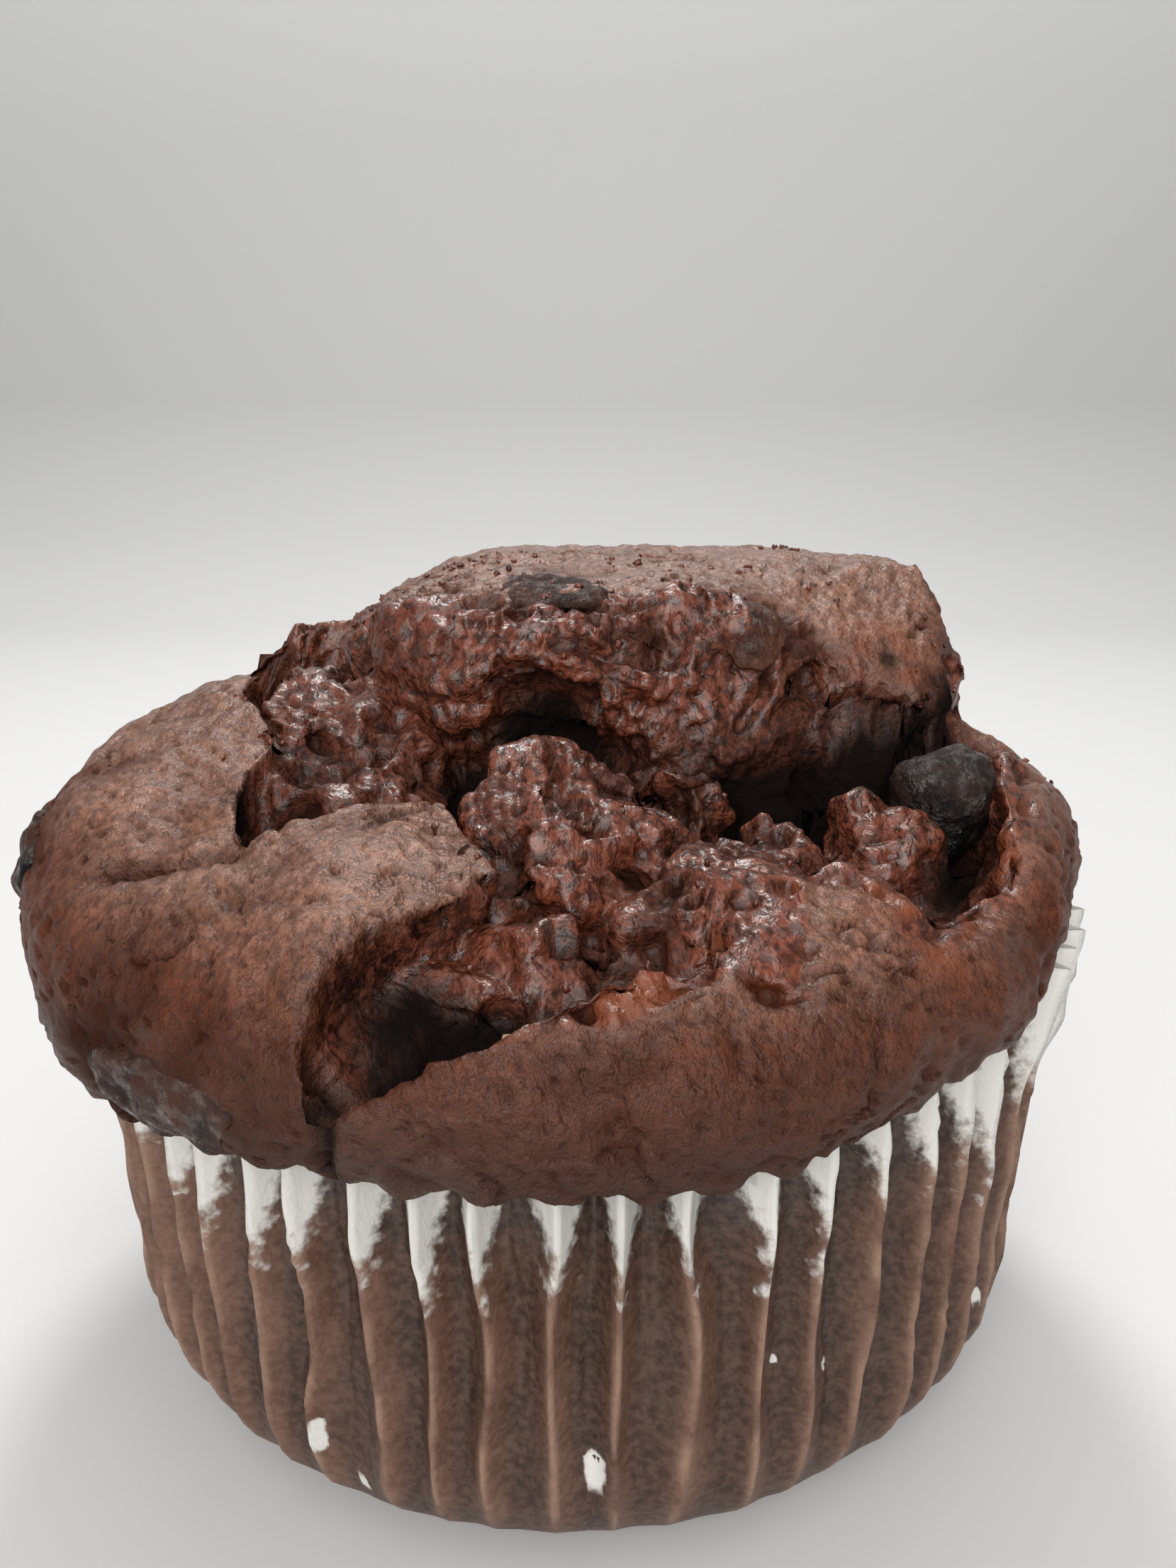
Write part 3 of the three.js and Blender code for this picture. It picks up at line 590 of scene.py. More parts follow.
in_crack = bell(flat_x + 6, 9) * (bell(from_crack, 1.8) + 0.2 * bell(from_crack - 3.5, 3.5))
in_crack = in_crack * (gap > -0.4) * (1 - ease(40.5, 43.5, now_z))
painted_shade = painted_shade + 0.9 * foot + 0.9 * in_crack * (1 - is_crust)
for centre, reach in BLACK_SHADE_HOLES:
    painted_shade = painted_shade + bell(np.linalg.norm(cake - centre, axis=-1), reach) * shown
painted_shade = np.clip(painted_shade + 0.9 * notch, 0, 1)
for centre, reach in STAINS:
    away = np.linalg.norm(cake - centre, axis=-1)
    pit_shade_and_stain = np.clip(pit_shade_and_stain + bell(away, reach) * ease(-0.6, 0.5, lumps(cake, 2.6, 74)), 0, 1)

# Orange along the torn edge: partly redder crumb, partly a painted orange glow.
syrup_and_glow = 0.8 * torn_edge * ease(0, 0.6, lumps(cake, 3.0, 73)) * shown * (1 - is_crust)
for centre, reach in SYRUP_AND_GLOW:
    away = np.linalg.norm(cake - centre, axis=-1)
    syrup_and_glow = np.maximum(syrup_and_glow, 0.95 * bell(away, reach) * ease(-0.4, 0.5, lumps(cake, 1.8, 71)))
syrup_and_glow *= 1 - painted_shade
# Painted light and shade on the skin: paler where it faces the sky high up, darker and redder on the sides,
# with some random tone.
sky_lit_part = ease(0.25, 0.95, plain_out[..., 2]) * ease(41, 52, now_z)
side_shade_and_tone = np.clip(1 - sky_lit_part + 0.3 * lumps(cake, 9, 72), 0, 1)


def closing_faces(across, down):
    """Triangles that close a grid's first row to one added point, and its last row to the next."""
    first = np.arange(across) * down
    last = first + down - 1
    number = np.full(across, across * down)
    start = np.stack([number, first, np.roll(first, -1)], -1)
    return np.concatenate([start, np.stack([number + 1, np.roll(last, -1), last], -1)])


# One point closes the crown at its middle, and one the base.
middle_point, base_point = (0, 0, cake[:, 0, 2].mean()), (0, 0, BASE_GAP)
cake_points = np.concatenate([cake.reshape(-1, 3), [middle_point, base_point]])
cake_rows = cake.shape[1]
cake_faces = grid_faces(COLUMNS, cake_rows).tolist() + closing_faces(COLUMNS, cake_rows).tolist()


def read_attribute(tree, name):
    """The output of a node that reads one of the piece's own attributes."""
    return add_node(tree, "Attribute", attribute_name=name).outputs["Fac"]


# The cake's finish: a dull skin with a thin gloss over moist dark crumb. The skin carries painted light and
# shade, paler where it faces the sky and darker and redder at the sides; pores, pits and deep places are
# painted in shade.
cake_stuff, tree, shader = new_material("baked_chocolate_cake")
where = add_node(tree, "TexCoord")
crust_mask, pit_shade_and_stain_mask, syrup_and_glow_mask = (read_attribute(tree, name) for name in ("crust", "pit_shade_and_stain", "syrup_and_glow"))
side_shade_mask, painted_shade_mask, pale_mask = (read_attribute(tree, name) for name in ("side_shade_and_tone", "painted_shade", "pale"))


def mottle_group():
    """Cloudy variation over a surface: a mask of two sizes of noise, sharpened by its contrast."""
    group = bpy.data.node_groups.new("mottle", "ShaderNodeTree")
    group.interface.new_socket("Place", in_out="INPUT", socket_type="NodeSocketVector")
    for name, value in (("Scale", 300.0), ("Low", 0.35), ("High", 0.65)):
        group.interface.new_socket(name, in_out="INPUT", socket_type="NodeSocketFloat").default_value = value
    group.interface.new_socket("Mask", in_out="OUTPUT", socket_type="NodeSocketFloat")
    start, end = group.nodes.new("NodeGroupInput"), group.nodes.new("NodeGroupOutput")
    noise = add_node(group, "TexNoise", {"Detail": 6.0, "Roughness": 0.62})
    levels = add_node(group, "MapRange", interpolation_type="SMOOTHSTEP")
    group.links.new(start.outputs["Place"], noise.inputs["Vector"])
    group.links.new(start.outputs["Scale"], noise.inputs["Scale"])
    group.links.new(noise.outputs["Fac"], levels.inputs["Value"])
    group.links.new(start.outputs["Low"], levels.inputs["From Min"])
    group.links.new(start.outputs["High"], levels.inputs["From Max"])
    group.links.new(levels.outputs["Result"], end.inputs["Mask"])
    return group


mottle = mottle_group()


def mottle_mask(tree, place, scale, low, high):
    """The mottle group placed in a material with its own values."""
    made = tree.nodes.new("ShaderNodeGroup")
    made.node_tree = mottle
    for key, value in (("Scale", scale), ("Low", low), ("High", high)):
        made.inputs[key].default_value = value
    tree.links.new(place.outputs["Object"], made.inputs["Place"])
    return made.outputs["Mask"]


def blend_colour(tree, part, first, second, how="MIX"):
    """Mixes two colours, each a socket or a plain colour, by a mask or a plain number."""
    made = tree.nodes.new("ShaderNodeMix")
    made.data_type = "RGBA"
    made.blend_type = how
    for socket, value in ((made.inputs[0], part), (made.inputs[6], first), (made.inputs[7], second)):
        if isinstance(value, bpy.types.NodeSocket):
            tree.links.new(value, socket)
        else:
            socket.default_value = value
    return made.outputs[2]


def blend_number(tree, part, first, second):
    """Mixes two numbers, each a socket or a plain number, by a mask."""
    made = tree.nodes.new("ShaderNodeMix")
    made.data_type = "FLOAT"
    for socket, value in ((made.inputs[0], part), (made.inputs[2], first), (made.inputs[3], second)):
        if isinstance(value, bpy.types.NodeSocket):
            tree.links.new(value, socket)
        else:
            socket.default_value = value
    return made.outputs[0]


broad = mottle_mask(tree, where, 150, 0.36, 0.64)
fine = mottle_mask(tree, where, 1250, 0.41, 0.59)
speck = mottle_mask(tree, where, 1500, 0.55, 0.68)
split = add_node(tree, "SeparateXYZ")
tree.links.new(where.outputs["Object"], split.inputs["Vector"])
low = add_node(tree, "MapRange", {"From Min": SKIN_LOW_FROM * MM, "From Max": SKIN_LOW_TO * MM})
tree.links.new(split.outputs["Z"], low.inputs["Value"])
pricks = add_node(tree, "TexVoronoi", {"Scale": 820.0})
tree.links.new(where.outputs["Object"], pricks.inputs["Vector"])
prick = add_node(tree, "MapRange", {"From Min": 0.12, "From Max": 0.30}, interpolation_type="SMOOTHSTEP")
tree.links.new(pricks.outputs["Distance"], prick.inputs["Value"])
# The pale top colour is painted light from the sky, the darker red side colour painted shade.
crust_sky_lit = blend_colour(tree, broad, (0.260, 0.106, 0.060, 1), (0.375, 0.172, 0.108, 1))
crust_lit_to_shaded = blend_colour(tree, side_shade_mask, crust_sky_lit, blend_colour(
    tree, broad, (0.096, 0.0200, 0.0048, 1), (0.165, 0.0360, 0.0085, 1)))
crust_low = blend_colour(tree, low.outputs["Result"], crust_lit_to_shaded, (0.052, 0.0165, 0.0082, 1))
crust_fine = blend_colour(tree, blend_number(tree, fine, 0.58, 0.0), crust_low, (0.060, 0.017, 0.008, 1))
# The pits pressed in by the prick bump are painted darker, as the shade in them.
prick_shade_part = blend_number(tree, prick.outputs["Result"], 0.25, 0.0)
crust_prick_shaded = blend_colour(tree, prick_shade_part, crust_fine, (0.045, 0.013, 0.007, 1))
specked = blend_number(tree, speck, 0.0, 0.62)
crust_colour = blend_colour(tree, specked, crust_prick_shaded, (0.050, 0.014, 0.007, 1))
crumb_dark = blend_colour(tree, broad, (0.038, 0.0088, 0.0038, 1), (0.084, 0.0175, 0.0068, 1))
crumb_colour = blend_colour(tree, fine, crumb_dark, (0.192, 0.0485, 0.0225, 1))
cake_colour = blend_colour(tree, crust_mask, crumb_colour, crust_colour)
# Painted shade in the pores and pits, together with the chocolate stains, in one dark colour.
pit_shaded = blend_colour(tree, pit_shade_and_stain_mask, cake_colour, (0.036, 0.0082, 0.0034, 1))
# Orange colour: partly less baked crumb, partly painted glow.
syrup_and_glow_tinted = blend_colour(tree, syrup_and_glow_mask, pit_shaded, (0.220, 0.052, 0.0135, 1))
# Painted shade: the deep places are painted near black.
shade_painted = blend_colour(tree, painted_shade_mask, syrup_and_glow_tinted, (0.0050, 0.0021, 0.0013, 1))
paled = blend_colour(tree, pale_mask, shade_painted, (0.480, 0.310, 0.170, 1))
tree.links.new(paled, shader.inputs["Base Color"])
surface_rough = blend_number(tree, crust_mask, 0.50, 0.56)
rough_pores = blend_number(tree, pit_shade_and_stain_mask, surface_rough, 0.85)
tree.links.new(blend_number(tree, painted_shade_mask, rough_pores, 1.0), shader.inputs["Roughness"])
patchy = mottle_mask(tree, where, 420, 0.36, 0.62)
crust_gloss = blend_number(tree, side_shade_mask, 0.85, 0.26)
wet = blend_number(tree, crust_mask, blend_number(tree, patchy, 0.5, 1.0), crust_gloss)
wet_tops = blend_number(tree, pit_shade_and_stain_mask, wet, 0.0)
tree.links.new(blend_number(tree, painted_shade_mask, wet_tops, 0.0), shader.inputs["Coat Weight"])
shader.inputs["Coat Roughness"].default_value = 0.30
shader.inputs["Coat IOR"].default_value = 1.6
shader.inputs["Specular IOR Level"].default_value = 0.16
open_grain = add_node(tree, "TexNoise", {"Scale": 820.0, "Detail": 3.0, "Roughness": 0.52, "Distortion": 0.4})
skin_grain = add_node(tree, "TexNoise", {"Scale": 1350.0, "Detail": 4.0, "Roughness": 0.6})
for texture in (open_grain, skin_grain):
    tree.links.new(where.outputs["Object"], texture.inputs["Vector"])
grain = blend_number(tree, crust_mask, open_grain.outputs["Fac"], skin_grain.outputs["Fac"])
grain_bump = add_node(tree, "Bump", {"Strength": 1.0, "Distance": 0.0011})
prick_bump = add_node(tree, "Bump", {"Strength": 0.6, "Distance": 0.00012})
tree.links.new(grain, grain_bump.inputs["Height"])
tree.links.new(prick.outputs["Result"], prick_bump.inputs["Height"])
tree.links.new(grain_bump.outputs["Normal"], prick_bump.inputs["Normal"])
tree.links.new(prick_bump.outputs["Normal"], shader.inputs["Normal"])
wet_bump = add_node(tree, "Bump", {"Strength": 1.0, "Distance": 0.00032})
tree.links.new(grain, wet_bump.inputs["Height"])
tree.links.new(wet_bump.outputs["Normal"], shader.inputs["Coat Normal"])

cake_piece = make_mesh("cake_body", cake_points, cake_faces, cake_stuff)
for name, values in (("crust", is_crust), ("pit_shade_and_stain", pit_shade_and_stain), ("syrup_and_glow", syrup_and_glow), ("side_shade_and_tone", side_shade_and_tone),
                     ("painted_shade", painted_shade), ("pale", 0 * painted_shade)):
    write_attribute(cake_piece, name, np.concatenate([values.ravel(), [values[:, 0].mean(), 0]]))
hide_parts("cake")
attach(cake_piece, "root")

# ---- Chocolate chunks ----
# Dark chocolate chunks stirred into the batter. They softened in the oven and set again as
# rounded, slightly dented pieces with a grey bloom where they stand out of the crumb.

# Centre, half sizes, turn and tilt; how much of it a film of crumb covers; how far it may stand out
# of the cake; and how deep its broad dents and its knocks are.
CHUNKS = [
    ((29, -12.6, 49.6), (3.9, 4.4, 5.0), 20, 12, 0, 9, 0.4, 0.12),
    ((-2, 2.5, 63.6), (4.8, 4.2, 1.8), -25, 8, 0.4, 0.4, 1, 0.42),
    ((15.4, -1.4, 60.9), (3.1, 2.8, 2.9), 10, 20, 0.9, 0.03, 1, 0.42),
    ((-25.4, -35.5, 37.6), (6.2, 1.8, 3.1), -35, 0, 0.45, 0.08, 1, 0.42),
    ((-42.2, -12.4, 44.6), (2.6, 4.2, 3.6), 15, 0, 0.5, 0.8, 1, 0.42),
]
CHUNK_ROUND, CHUNK_DOWN = 64, 34
CHUNK_REACH = 11                                  # how far round a chunk the cake is looked up

dark_chocolate, tree, shader = new_material("dark_chocolate")
where = add_node(tree, "TexCoord")
bloom = mottle_mask(tree, where, 520, 0.5, 0.7)
cloud = mottle_mask(tree, where, 160, 0.4, 0.6)
chocolate_colour = blend_colour(tree, cloud, (0.0035, 0.0027, 0.0027, 1), (0.030, 0.0165, 0.0125, 1))
bloomed = blend_colour(tree, bloom, chocolate_colour, (0.030, 0.024, 0.023, 1))
film = add_node(tree, "Math", operation="MULTIPLY")
tree.links.new(read_attribute(tree, "film"), film.inputs[0])
tree.links.new(mottle_mask(tree, where, 330, 0.34, 0.60), film.inputs[1])
filmed = blend_colour(tree, film.outputs["Value"], bloomed, (0.095, 0.034, 0.021, 1))
tree.links.new(filmed, shader.inputs["Base Color"])
tree.links.new(blend_number(tree, bloom, 0.45, 0.7), shader.inputs["Roughness"])
shader.inputs["Specular IOR Level"].default_value = 0.12
chunk_shine = mottle_mask(tree, where, 900, 0.45, 0.62)
tree.links.new(blend_number(tree, chunk_shine, 0.0, 0.8), shader.inputs["Coat Weight"])
shader.inputs["Coat Roughness"].default_value = 0.22
chunk_grain = add_node(tree, "TexNoise", {"Scale": 1500.0, "Detail": 4.0, "Roughness": 0.6})
tree.links.new(where.outputs["Object"], chunk_grain.inputs["Vector"])
chunk_bump = add_node(tree, "Bump", {"Strength": 0.8, "Distance": 0.0007})
tree.links.new(chunk_grain.outputs["Fac"], chunk_bump.inputs["Height"])
tree.links.new(chunk_bump.outputs["Normal"], shader.inputs["Normal"])
tree.links.new(chunk_bump.outputs["Normal"], shader.inputs["Coat Normal"])


def ball_points(around, down):
    """A unit ball on a grid of bearing and dip, by their sines and cosines, and its two poles."""
    bearing = np.linspace(0, TURN, around, endpoint=False)[:, None]
    dip = (np.arange(1, down) / down * math.pi)[None]
    flat_part = [np.cos(bearing) * np.sin(dip), np.sin(bearing) * np.sin(dip)]
    points = np.stack([*flat_part, np.cos(dip) + 0 * bearing], -1).reshape(-1, 3)
    return np.concatenate([points, [[0, 0, 1], [0, 0, -1]]])


def pressed_in(points, centre, stand_out):
    """Points moved along the plain cake's normals so that none stands further out than a limit: a
    height h above the cake becomes the limit times 1 less e to the minus h over the limit."""
    near = np.linalg.norm(plain - centre, axis=-1) < CHUNK_REACH
    under, normal = plain[near], plain_out[near]
    nearest = np.argmin(((points[:, None] - under[None]) ** 2).sum(-1), 1)
    height = ((points - under[nearest]) * normal[nearest]).sum(-1)
    kept = np.where(height > 0, stand_out * (1 - np.exp(-np.maximum(height, 0) / stand_out)), height)
    return points + normal[nearest] * (kept - height)[:, None]


ball = ball_points(CHUNK_ROUND, CHUNK_DOWN)
ball_faces = grid_faces(CHUNK_ROUND, CHUNK_DOWN - 1).tolist()
ball_faces += closing_faces(CHUNK_ROUND, CHUNK_DOWN - 1).tolist()

for number, (centre, half, turn, tilt, film_cover, stand_out, dented, knocked) in enumerate(CHUNKS, 1):
    # A ball pressed out of round: broad dents by sines of its own axes, then small knocks.
    dents = 0.07 * np.sin(3.1 * ball[:, 0] + centre[0]) + 0.06 * np.sin(4.3 * ball[:, 1] + centre[1])
    size = 1 + dented * (dents + 0.05 * np.sin(5.2 * ball[:, 2] + centre[2]))
    chunk = ball * np.array(half) * (size + 0.035 * lumps(ball, 0.45, 80 + number))[:, None]
    a, b = math.radians(tilt), math.radians(turn)
    tilted = chunk @ np.array([[1, 0, 0], [0, math.cos(a), math.sin(a)], [0, -math.sin(a), math.cos(a)]])
    turned = tilted @ np.array([[math.cos(b), math.sin(b), 0], [-math.sin(b), math.cos(b), 0], [0, 0, 1]])
    placed = pressed_in(turned + centre, centre, stand_out)
    knocks = knocked * lumps(placed, 2.2, 85) + 0.26 * lumps(placed, 1.0, 86)
    placed = placed + ball * knocks[:, None]
    chunk_piece = make_mesh(f"chunk_{number}", placed, ball_faces, dark_chocolate)
    write_attribute(chunk_piece, "film", np.full(len(placed), film_cover))
    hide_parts(f"chocolate_chunk_{number}")
    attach(chunk_piece, "root")

# ---- Paper case ----
# White greaseproof paper pressed into a pleated cup. Fat from the cake has soaked it brown,
# except on the upper folds that stand clear of the cake.

BASE_RADIUS, CORNER_RADIUS, WALL_RADIUS = 28, 12, 40
MID_WALL, WALL_FLARE, BARE_FLARE = 28.5, 0.9, 2.5
FOLD_LOW, FOLD_HIGH = 1.2, 3.3
RIDGE_OFFSET = 2.3                                # bearing of the first fold
PAPER = 0.14
FOLD_POINTS = 16
CORNER_ROWS, WALL_ROWS = 12, 58
INNER_EVERY = 4                                   # the paper's inside has only every fourth row
STAIN_TIP, STAIN_TIP_SPREAD = 26.6, 2.0           # height at which the white of a fold runs out
DRY_SPOTS = [                                     # bearing, height, half width and half height
    (-134.9, 12.4, 0.5, 0.7), (-116.2, 11.0, 0.75, 1.1), (-112.2, 7.1, 0.5, 0.6),
    (-87.4, 11.2, 0.85, 1.3), (-92.7, 7.6, 0.8, 0.5), (-69.5, 17.8, 0.3, 0.4), (-63.1, 16.0, 0.4, 0.5),
    (-43.4, 13.2, 0.4, 0.6), (-35.4, 12.1, 0.4, 0.5),
]

fold_bearings = np.arange(PLEATS * FOLD_POINTS) / (PLEATS * FOLD_POINTS) * 360
case_bare = bareness(fold_bearings)[:, None]
corner_angle = np.linspace(90, 0, CORNER_ROWS)
wall_part = np.linspace(0, 1, WALL_ROWS + 1)[None, 1:]
lip_here = crown_rim(fold_bearings)[2][:, None]
case_lip = mix(lip_here + 2.2, RIM_HEIGHT, ease(0, 0.6, case_bare))
case_top = np.minimum(case_lip, RIM_HEIGHT)
corner_z = CORNER_RADIUS * (1 - np.sin(np.radians(corner_angle)))[None]
row_z = np.concatenate([corner_z + 0 * case_top, mix(CORNER_RADIUS, case_top, wall_part)], 1)
row_corner = np.concatenate([np.cos(np.radians(corner_angle)), np.ones(WALL_ROWS)])[None]
row_r = np.concatenate([BASE_RADIUS + CORNER_RADIUS * np.cos(np.radians(corner_angle)),
                        np.full(WALL_ROWS, WALL_RADIUS)])[None]
lean = WALL_FLARE * np.clip((row_z - CORNER_RADIUS) / (MID_WALL - CORNER_RADIUS), 0, 1)
flare = BARE_FLARE * ease(0.6, 1, case_bare) * ease(MID_WALL - 2, RIM_HEIGHT, row_z)

# Each fold wanders a little from side to side up the wall, and no two are quite as deep.
unrolled = np.stack([WALL_RADIUS * np.radians(fold_bearings)[:, None] + 0 * row_z, row_z, 0 * row_z], -1)
wander = 0.18 * lumps(unrolled * (1, 0.45, 1), 4.6, 91) * ease(4, 16, row_z)
wander = wander + 0.16 * lumps(unrolled * (1, 0.1, 1), 6.3, 90)
fold_place = (fold_bearings[:, None] - RIDGE_OFFSET) / 360 * PLEATS + wander
fold_number = np.round(fold_place)
from_ridge = fold_place - fold_number
ridge = (1 - np.abs(np.sin(math.pi * from_ridge))) ** 1.15
fold_own = cell_random(fold_number % PLEATS, 0, 0, 92)
depth = mix(FOLD_LOW, FOLD_HIGH, ease(0, RIM_HEIGHT, row_z)) * (1 - 0.22 * fold_own) * row_corner
depth = depth * ease(0.5, 13, row_z)
crumple = 0.16 * lumps(unrolled * (1, 0.6, 1), 1.7, 93) + 0.12 * lumps(unrolled, 4.2, 94)
crumple = crumple * ease(0, 5, row_z)
outer_r = row_r + lean + flare - depth * (1 - ridge) + (crumple - 0.24) * row_corner
inner_r, inner_z = outer_r - PAPER * row_corner, np.maximum(row_z, PAPER)


def both_sides(outer, inner):
    """Rows up the outside of the paper, then every few rows down its inside."""
    return np.concatenate([outer, inner[:, ::-1][:, ::INNER_EVERY]], 1)


case_r, case_z = both_sides(outer_r, inner_r), both_sides(row_z, inner_z)
case_angle = np.radians(fold_bearings)[:, None]
case = np.stack([case_r * np.cos(case_angle), case_r * np.sin(case_angle), case_z], -1)
case_points = np.concatenate([case.reshape(-1, 3), [[0, 0, 0], [0, 0, PAPER]]])
case_columns, case_rows = case_r.shape
case_faces = grid_faces(case_columns, case_rows)[:, ::-1].tolist()
case_faces += closing_faces(case_columns, case_rows)[:, ::-1].tolist()

# Dry white on the folds: a wedge below the lip that narrows to a tip with a ragged lace edge, all
# of the paper near the bare rim, and odd spots.
visible_lip = mix(lip_here, RIM_HEIGHT, ease(0, 0.6, case_bare))
tip = STAIN_TIP + STAIN_TIP_SPREAD * (2 * cell_random(fold_number % PLEATS, 1, 0, 95) - 1)
up_wedge = np.clip((row_z - tip) / np.maximum(visible_lip - tip, 2), 0, 1.3)
wedge = (0.41 + 0.08 * cell_random(fold_number % PLEATS, 2, 0, 95)) * up_wedge ** 0.85
dryness = np.where(row_z > tip - 1, wedge - np.abs(from_ridge - 0.06), -0.5)
lace = 0.3 * np.clip(1 - 3 * np.abs(lumps(unrolled * (1, 0.6, 1), 1.0, 96)), 0, 1)
lace = lace * bell(row_z - tip + 0.6, 2.2) * bell(from_ridge - 0.04, 0.26)
dryness = np.maximum(dryness, -0.2 + lace)
above = (row_z - 37.2 + 1.2 * lumps(unrolled, 2.5, 98)) / 12
dryness = np.maximum(dryness, np.where(case_bare > 0.3, above, -0.5))
for bearing, height, half_width, half_height in DRY_SPOTS:
    sideways = bearing_gap(fold_bearings, bearing)[:, None] * math.pi / 180 * WALL_RADIUS
    away = np.hypot((sideways + 0.2 * lumps(unrolled, 1.2, 99)) / half_width, (row_z - height) / half_height)
    dryness = np.maximum(dryness, np.clip(1.2 * (1 - away), -1, 0.2))

folded = ease(0, 9, row_z)
# Painted light and shade across each fold: lighter on the flank beside the crest, darker in the valley,
# partly a deeper soak and partly painted shade; near the lip the light is taken off, as painted shade under
# the crown.
fold_light_and_soak = np.clip(0.5 + 0.5 * np.cos(TURN * (from_ridge - 0.08)), 0, 1) ** 2.2
fold_light_and_soak = (1 - 0.85 * ease(27.5, 32, row_z)) * mix(0.35, fold_light_and_soak, folded)
crease_part = bell(from_ridge, 0.06) * folded * np.clip(0.6 + 0.8 * lumps(unrolled, 3.0, 97), 0, 1)
# Painted shade under the overhanging lip, in the valleys away from the crests.
under_lip_shade = 0.85 * ease(26.5, 31, row_z + 0.8 * lumps(unrolled, 2.0, 89)) * (1 - case_bare)
under_lip_shade = under_lip_shade * ease(0.05, 0.2, np.abs(from_ridge))

case_stuff, tree, shader = new_material("greaseproof_paper")
where = add_node(tree, "TexCoord")
seep = add_node(tree, "TexNoise", {"Scale": 800.0, "Detail": 5.0, "Roughness": 0.6})
tree.links.new(where.outputs["Object"], seep.inputs["Vector"])
seeped = add_node(tree, "Math", operation="MULTIPLY_ADD")
seeped.inputs[1].default_value = 0.5
tree.links.new(seep.outputs["Fac"], seeped.inputs[0])
tree.links.new(read_attribute(tree, "dryness"), seeped.inputs[2])
dry = add_node(tree, "MapRange", {"From Min": 0.17, "From Max": 0.36}, interpolation_type="SMOOTHSTEP")
tree.links.new(seeped.outputs["Value"], dry.inputs["Value"])
dry_mask = dry.outputs["Result"]
soak = mottle_mask(tree, where, 210, 0.3, 0.7)
fibre = mottle_mask(tree, where, 1700, 0.35, 0.65)
# Painted shade in the valleys and painted light on the flanks, each over the mottled soak.
valley_shade_brown = blend_colour(tree, soak, (0.020, 0.0090, 0.0062, 1), (0.046, 0.0205, 0.0135, 1))
flank_lit_brown = blend_colour(tree, soak, (0.092, 0.041, 0.026, 1), (0.164, 0.081, 0.054, 1))
fold_lit_and_soaked = blend_colour(tree, read_attribute(tree, "ridge"), valley_shade_brown, flank_lit_brown)
creased = blend_colour(tree, read_attribute(tree, "crease"), fold_lit_and_soaked, (0.290, 0.176, 0.122, 1))
# Painted shade under the lip, near black.
under_lip_shaded = blend_colour(tree, read_attribute(tree, "wet"), creased, (0.017, 0.0105, 0.0100, 1))
fibre_brown = blend_colour(tree, fibre, (0.040, 0.020, 0.014, 1), (0.30, 0.19, 0.14, 1))
fibred = blend_colour(tree, 0.17, under_lip_shaded, fibre_brown)
paper_colour = blend_colour(tree, dry_mask, fibred, (0.605, 0.592, 0.562, 1))
tree.links.new(paper_colour, shader.inputs["Base Color"])
tree.links.new(blend_number(tree, dry_mask, 0.5, 0.68), shader.inputs["Roughness"])
shader.inputs["Specular IOR Level"].default_value = 0.35
paper_grain = add_node(tree, "TexNoise", {"Scale": 2200.0, "Detail": 4.0, "Roughness": 0.65})
tree.links.new(where.outputs["Object"], paper_grain.inputs["Vector"])
paper_bump = add_node(tree, "Bump", {"Strength": 0.5, "Distance": 0.00018})
tree.links.new(paper_grain.outputs["Fac"], paper_bump.inputs["Height"])
tree.links.new(paper_bump.outputs["Normal"], shader.inputs["Normal"])

case_piece = make_mesh("pleated_case", case_points, case_faces, case_stuff)
# The ridge attribute carries the painted fold light and shade; the wet attribute carries the painted shade
# under the lip.
for name, values, at_middle in (("dryness", dryness, -1), ("ridge", fold_light_and_soak, 0), ("wet", under_lip_shade, 0),
                                ("crease", crease_part, 0)):
    write_attribute(case_piece, name, np.append(both_sides(values, values), [at_middle, at_middle]))
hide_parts("paper_case")
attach(case_piece, "root")

# ---- Loose crumbs ----
# Bits that broke off where the crust tore, and lie where they fell on the crumb and along the
# torn edges. Each is a small knobbly lump of the same cake, stuck by its own dampness.

CRUMB_COUNT, CRUMB_SEED = 230, 7
CRUMB_SIZE, CRUMB_KNOBS, CRUMB_SQUASH = (0.12, 0.34), (-0.45, 0.45), (0.65, 1.2)
RAGGED_SPOTS = [                                  # where crumbs hang thick
    (36.5, 9, 60.3), (36.3, 5, 56.7), (38.7, -5, 49.9), (-43.5, -12, 43), (-11.8, 15, 64.4),
    (-19.8, 15, 62.5), (21.1, 22, 66),
]
PALE_FLAKE, PALE_FLAKE_SIZE = (-3.8, -39.6, 43.4), 0.75             # on the near edge of the crack
KNOB_ROUND, KNOB_DOWN = 6, 4

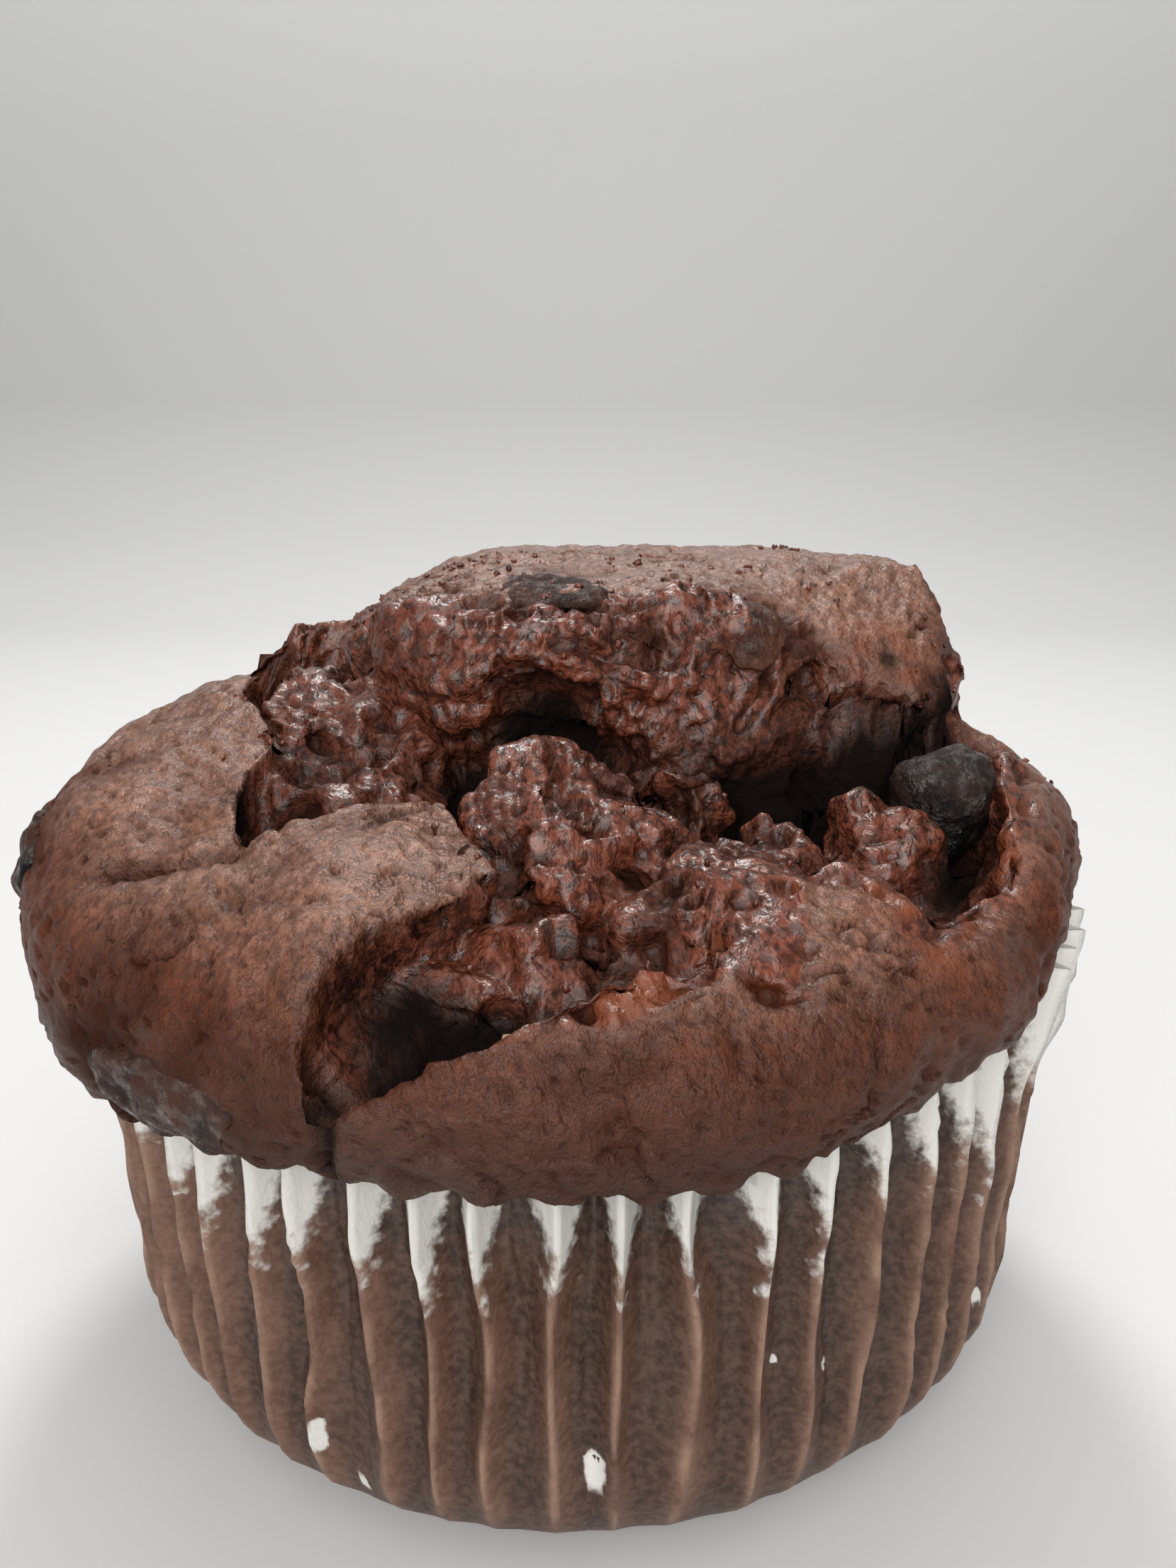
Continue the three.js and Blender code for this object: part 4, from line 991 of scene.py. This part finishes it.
knob = ball_points(KNOB_ROUND, KNOB_DOWN)
knob_sides = grid_faces(KNOB_ROUND, KNOB_DOWN - 1)
knob_faces = np.concatenate([knob_sides[:, [0, 1, 2]], knob_sides[:, [0, 2, 3]],
                             closing_faces(KNOB_ROUND, KNOB_DOWN - 1)])

# Crumbs lie most along the torn edges, on what faces up, and thickly at the ragged spots.
cake_out = outward(cake)
likely = np.exp(-np.abs(gap) / 1.1) + 0.08 * np.exp(-np.abs(in_block) / 1.4) + 0.12 * (gap > 0)
likely = likely * (cake_out[..., 2] > 0.35) * (cake_r < 42)
for spot in RAGGED_SPOTS:
    likely += 5 * bell(np.linalg.norm(cake - spot, axis=-1), 2.2)
likely[:, CROWN_ROWS:] = 0
likely[painted_shade > 0.25] = 0
likely = likely.ravel() / likely.sum()
draw = np.random.default_rng(CRUMB_SEED)
chosen = draw.choice(likely.size, CRUMB_COUNT, replace=False, p=likely)
reach = draw.uniform(*CRUMB_SIZE, CRUMB_COUNT)
chosen[0] = np.argmin(np.linalg.norm(cake - PALE_FLAKE, axis=-1))
reach[0] = PALE_FLAKE_SIZE
shape = 1 + draw.uniform(*CRUMB_KNOBS, (CRUMB_COUNT, len(knob), 1))
squash = draw.uniform(*CRUMB_SQUASH, (CRUMB_COUNT, 1, 3))
rest_on = cake.reshape(-1, 3)[chosen] + cake_out.reshape(-1, 3)[chosen] * reach[:, None] * 0.35
crumbs = rest_on[:, None] + knob[None] * shape * squash * reach[:, None, None]
crumb_faces = (knob_faces[None] + (np.arange(CRUMB_COUNT) * len(knob))[:, None, None]).reshape(-1, 3)
crumb_piece = make_mesh("loose_crumbs", crumbs.reshape(-1, 3), crumb_faces.tolist(), cake_stuff)
# Loose crumbs carry only a random tone in this mask.
write_attribute(crumb_piece, "side_shade_and_tone", np.repeat(draw.uniform(0, 1, CRUMB_COUNT), len(knob)))
write_attribute(crumb_piece, "pale", np.repeat(np.arange(CRUMB_COUNT) == 0, len(knob)))
for name in ("crust", "pit_shade_and_stain", "syrup_and_glow", "painted_shade"):
    write_attribute(crumb_piece, name, np.zeros(CRUMB_COUNT * len(knob)))
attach(crumb_piece, "root")
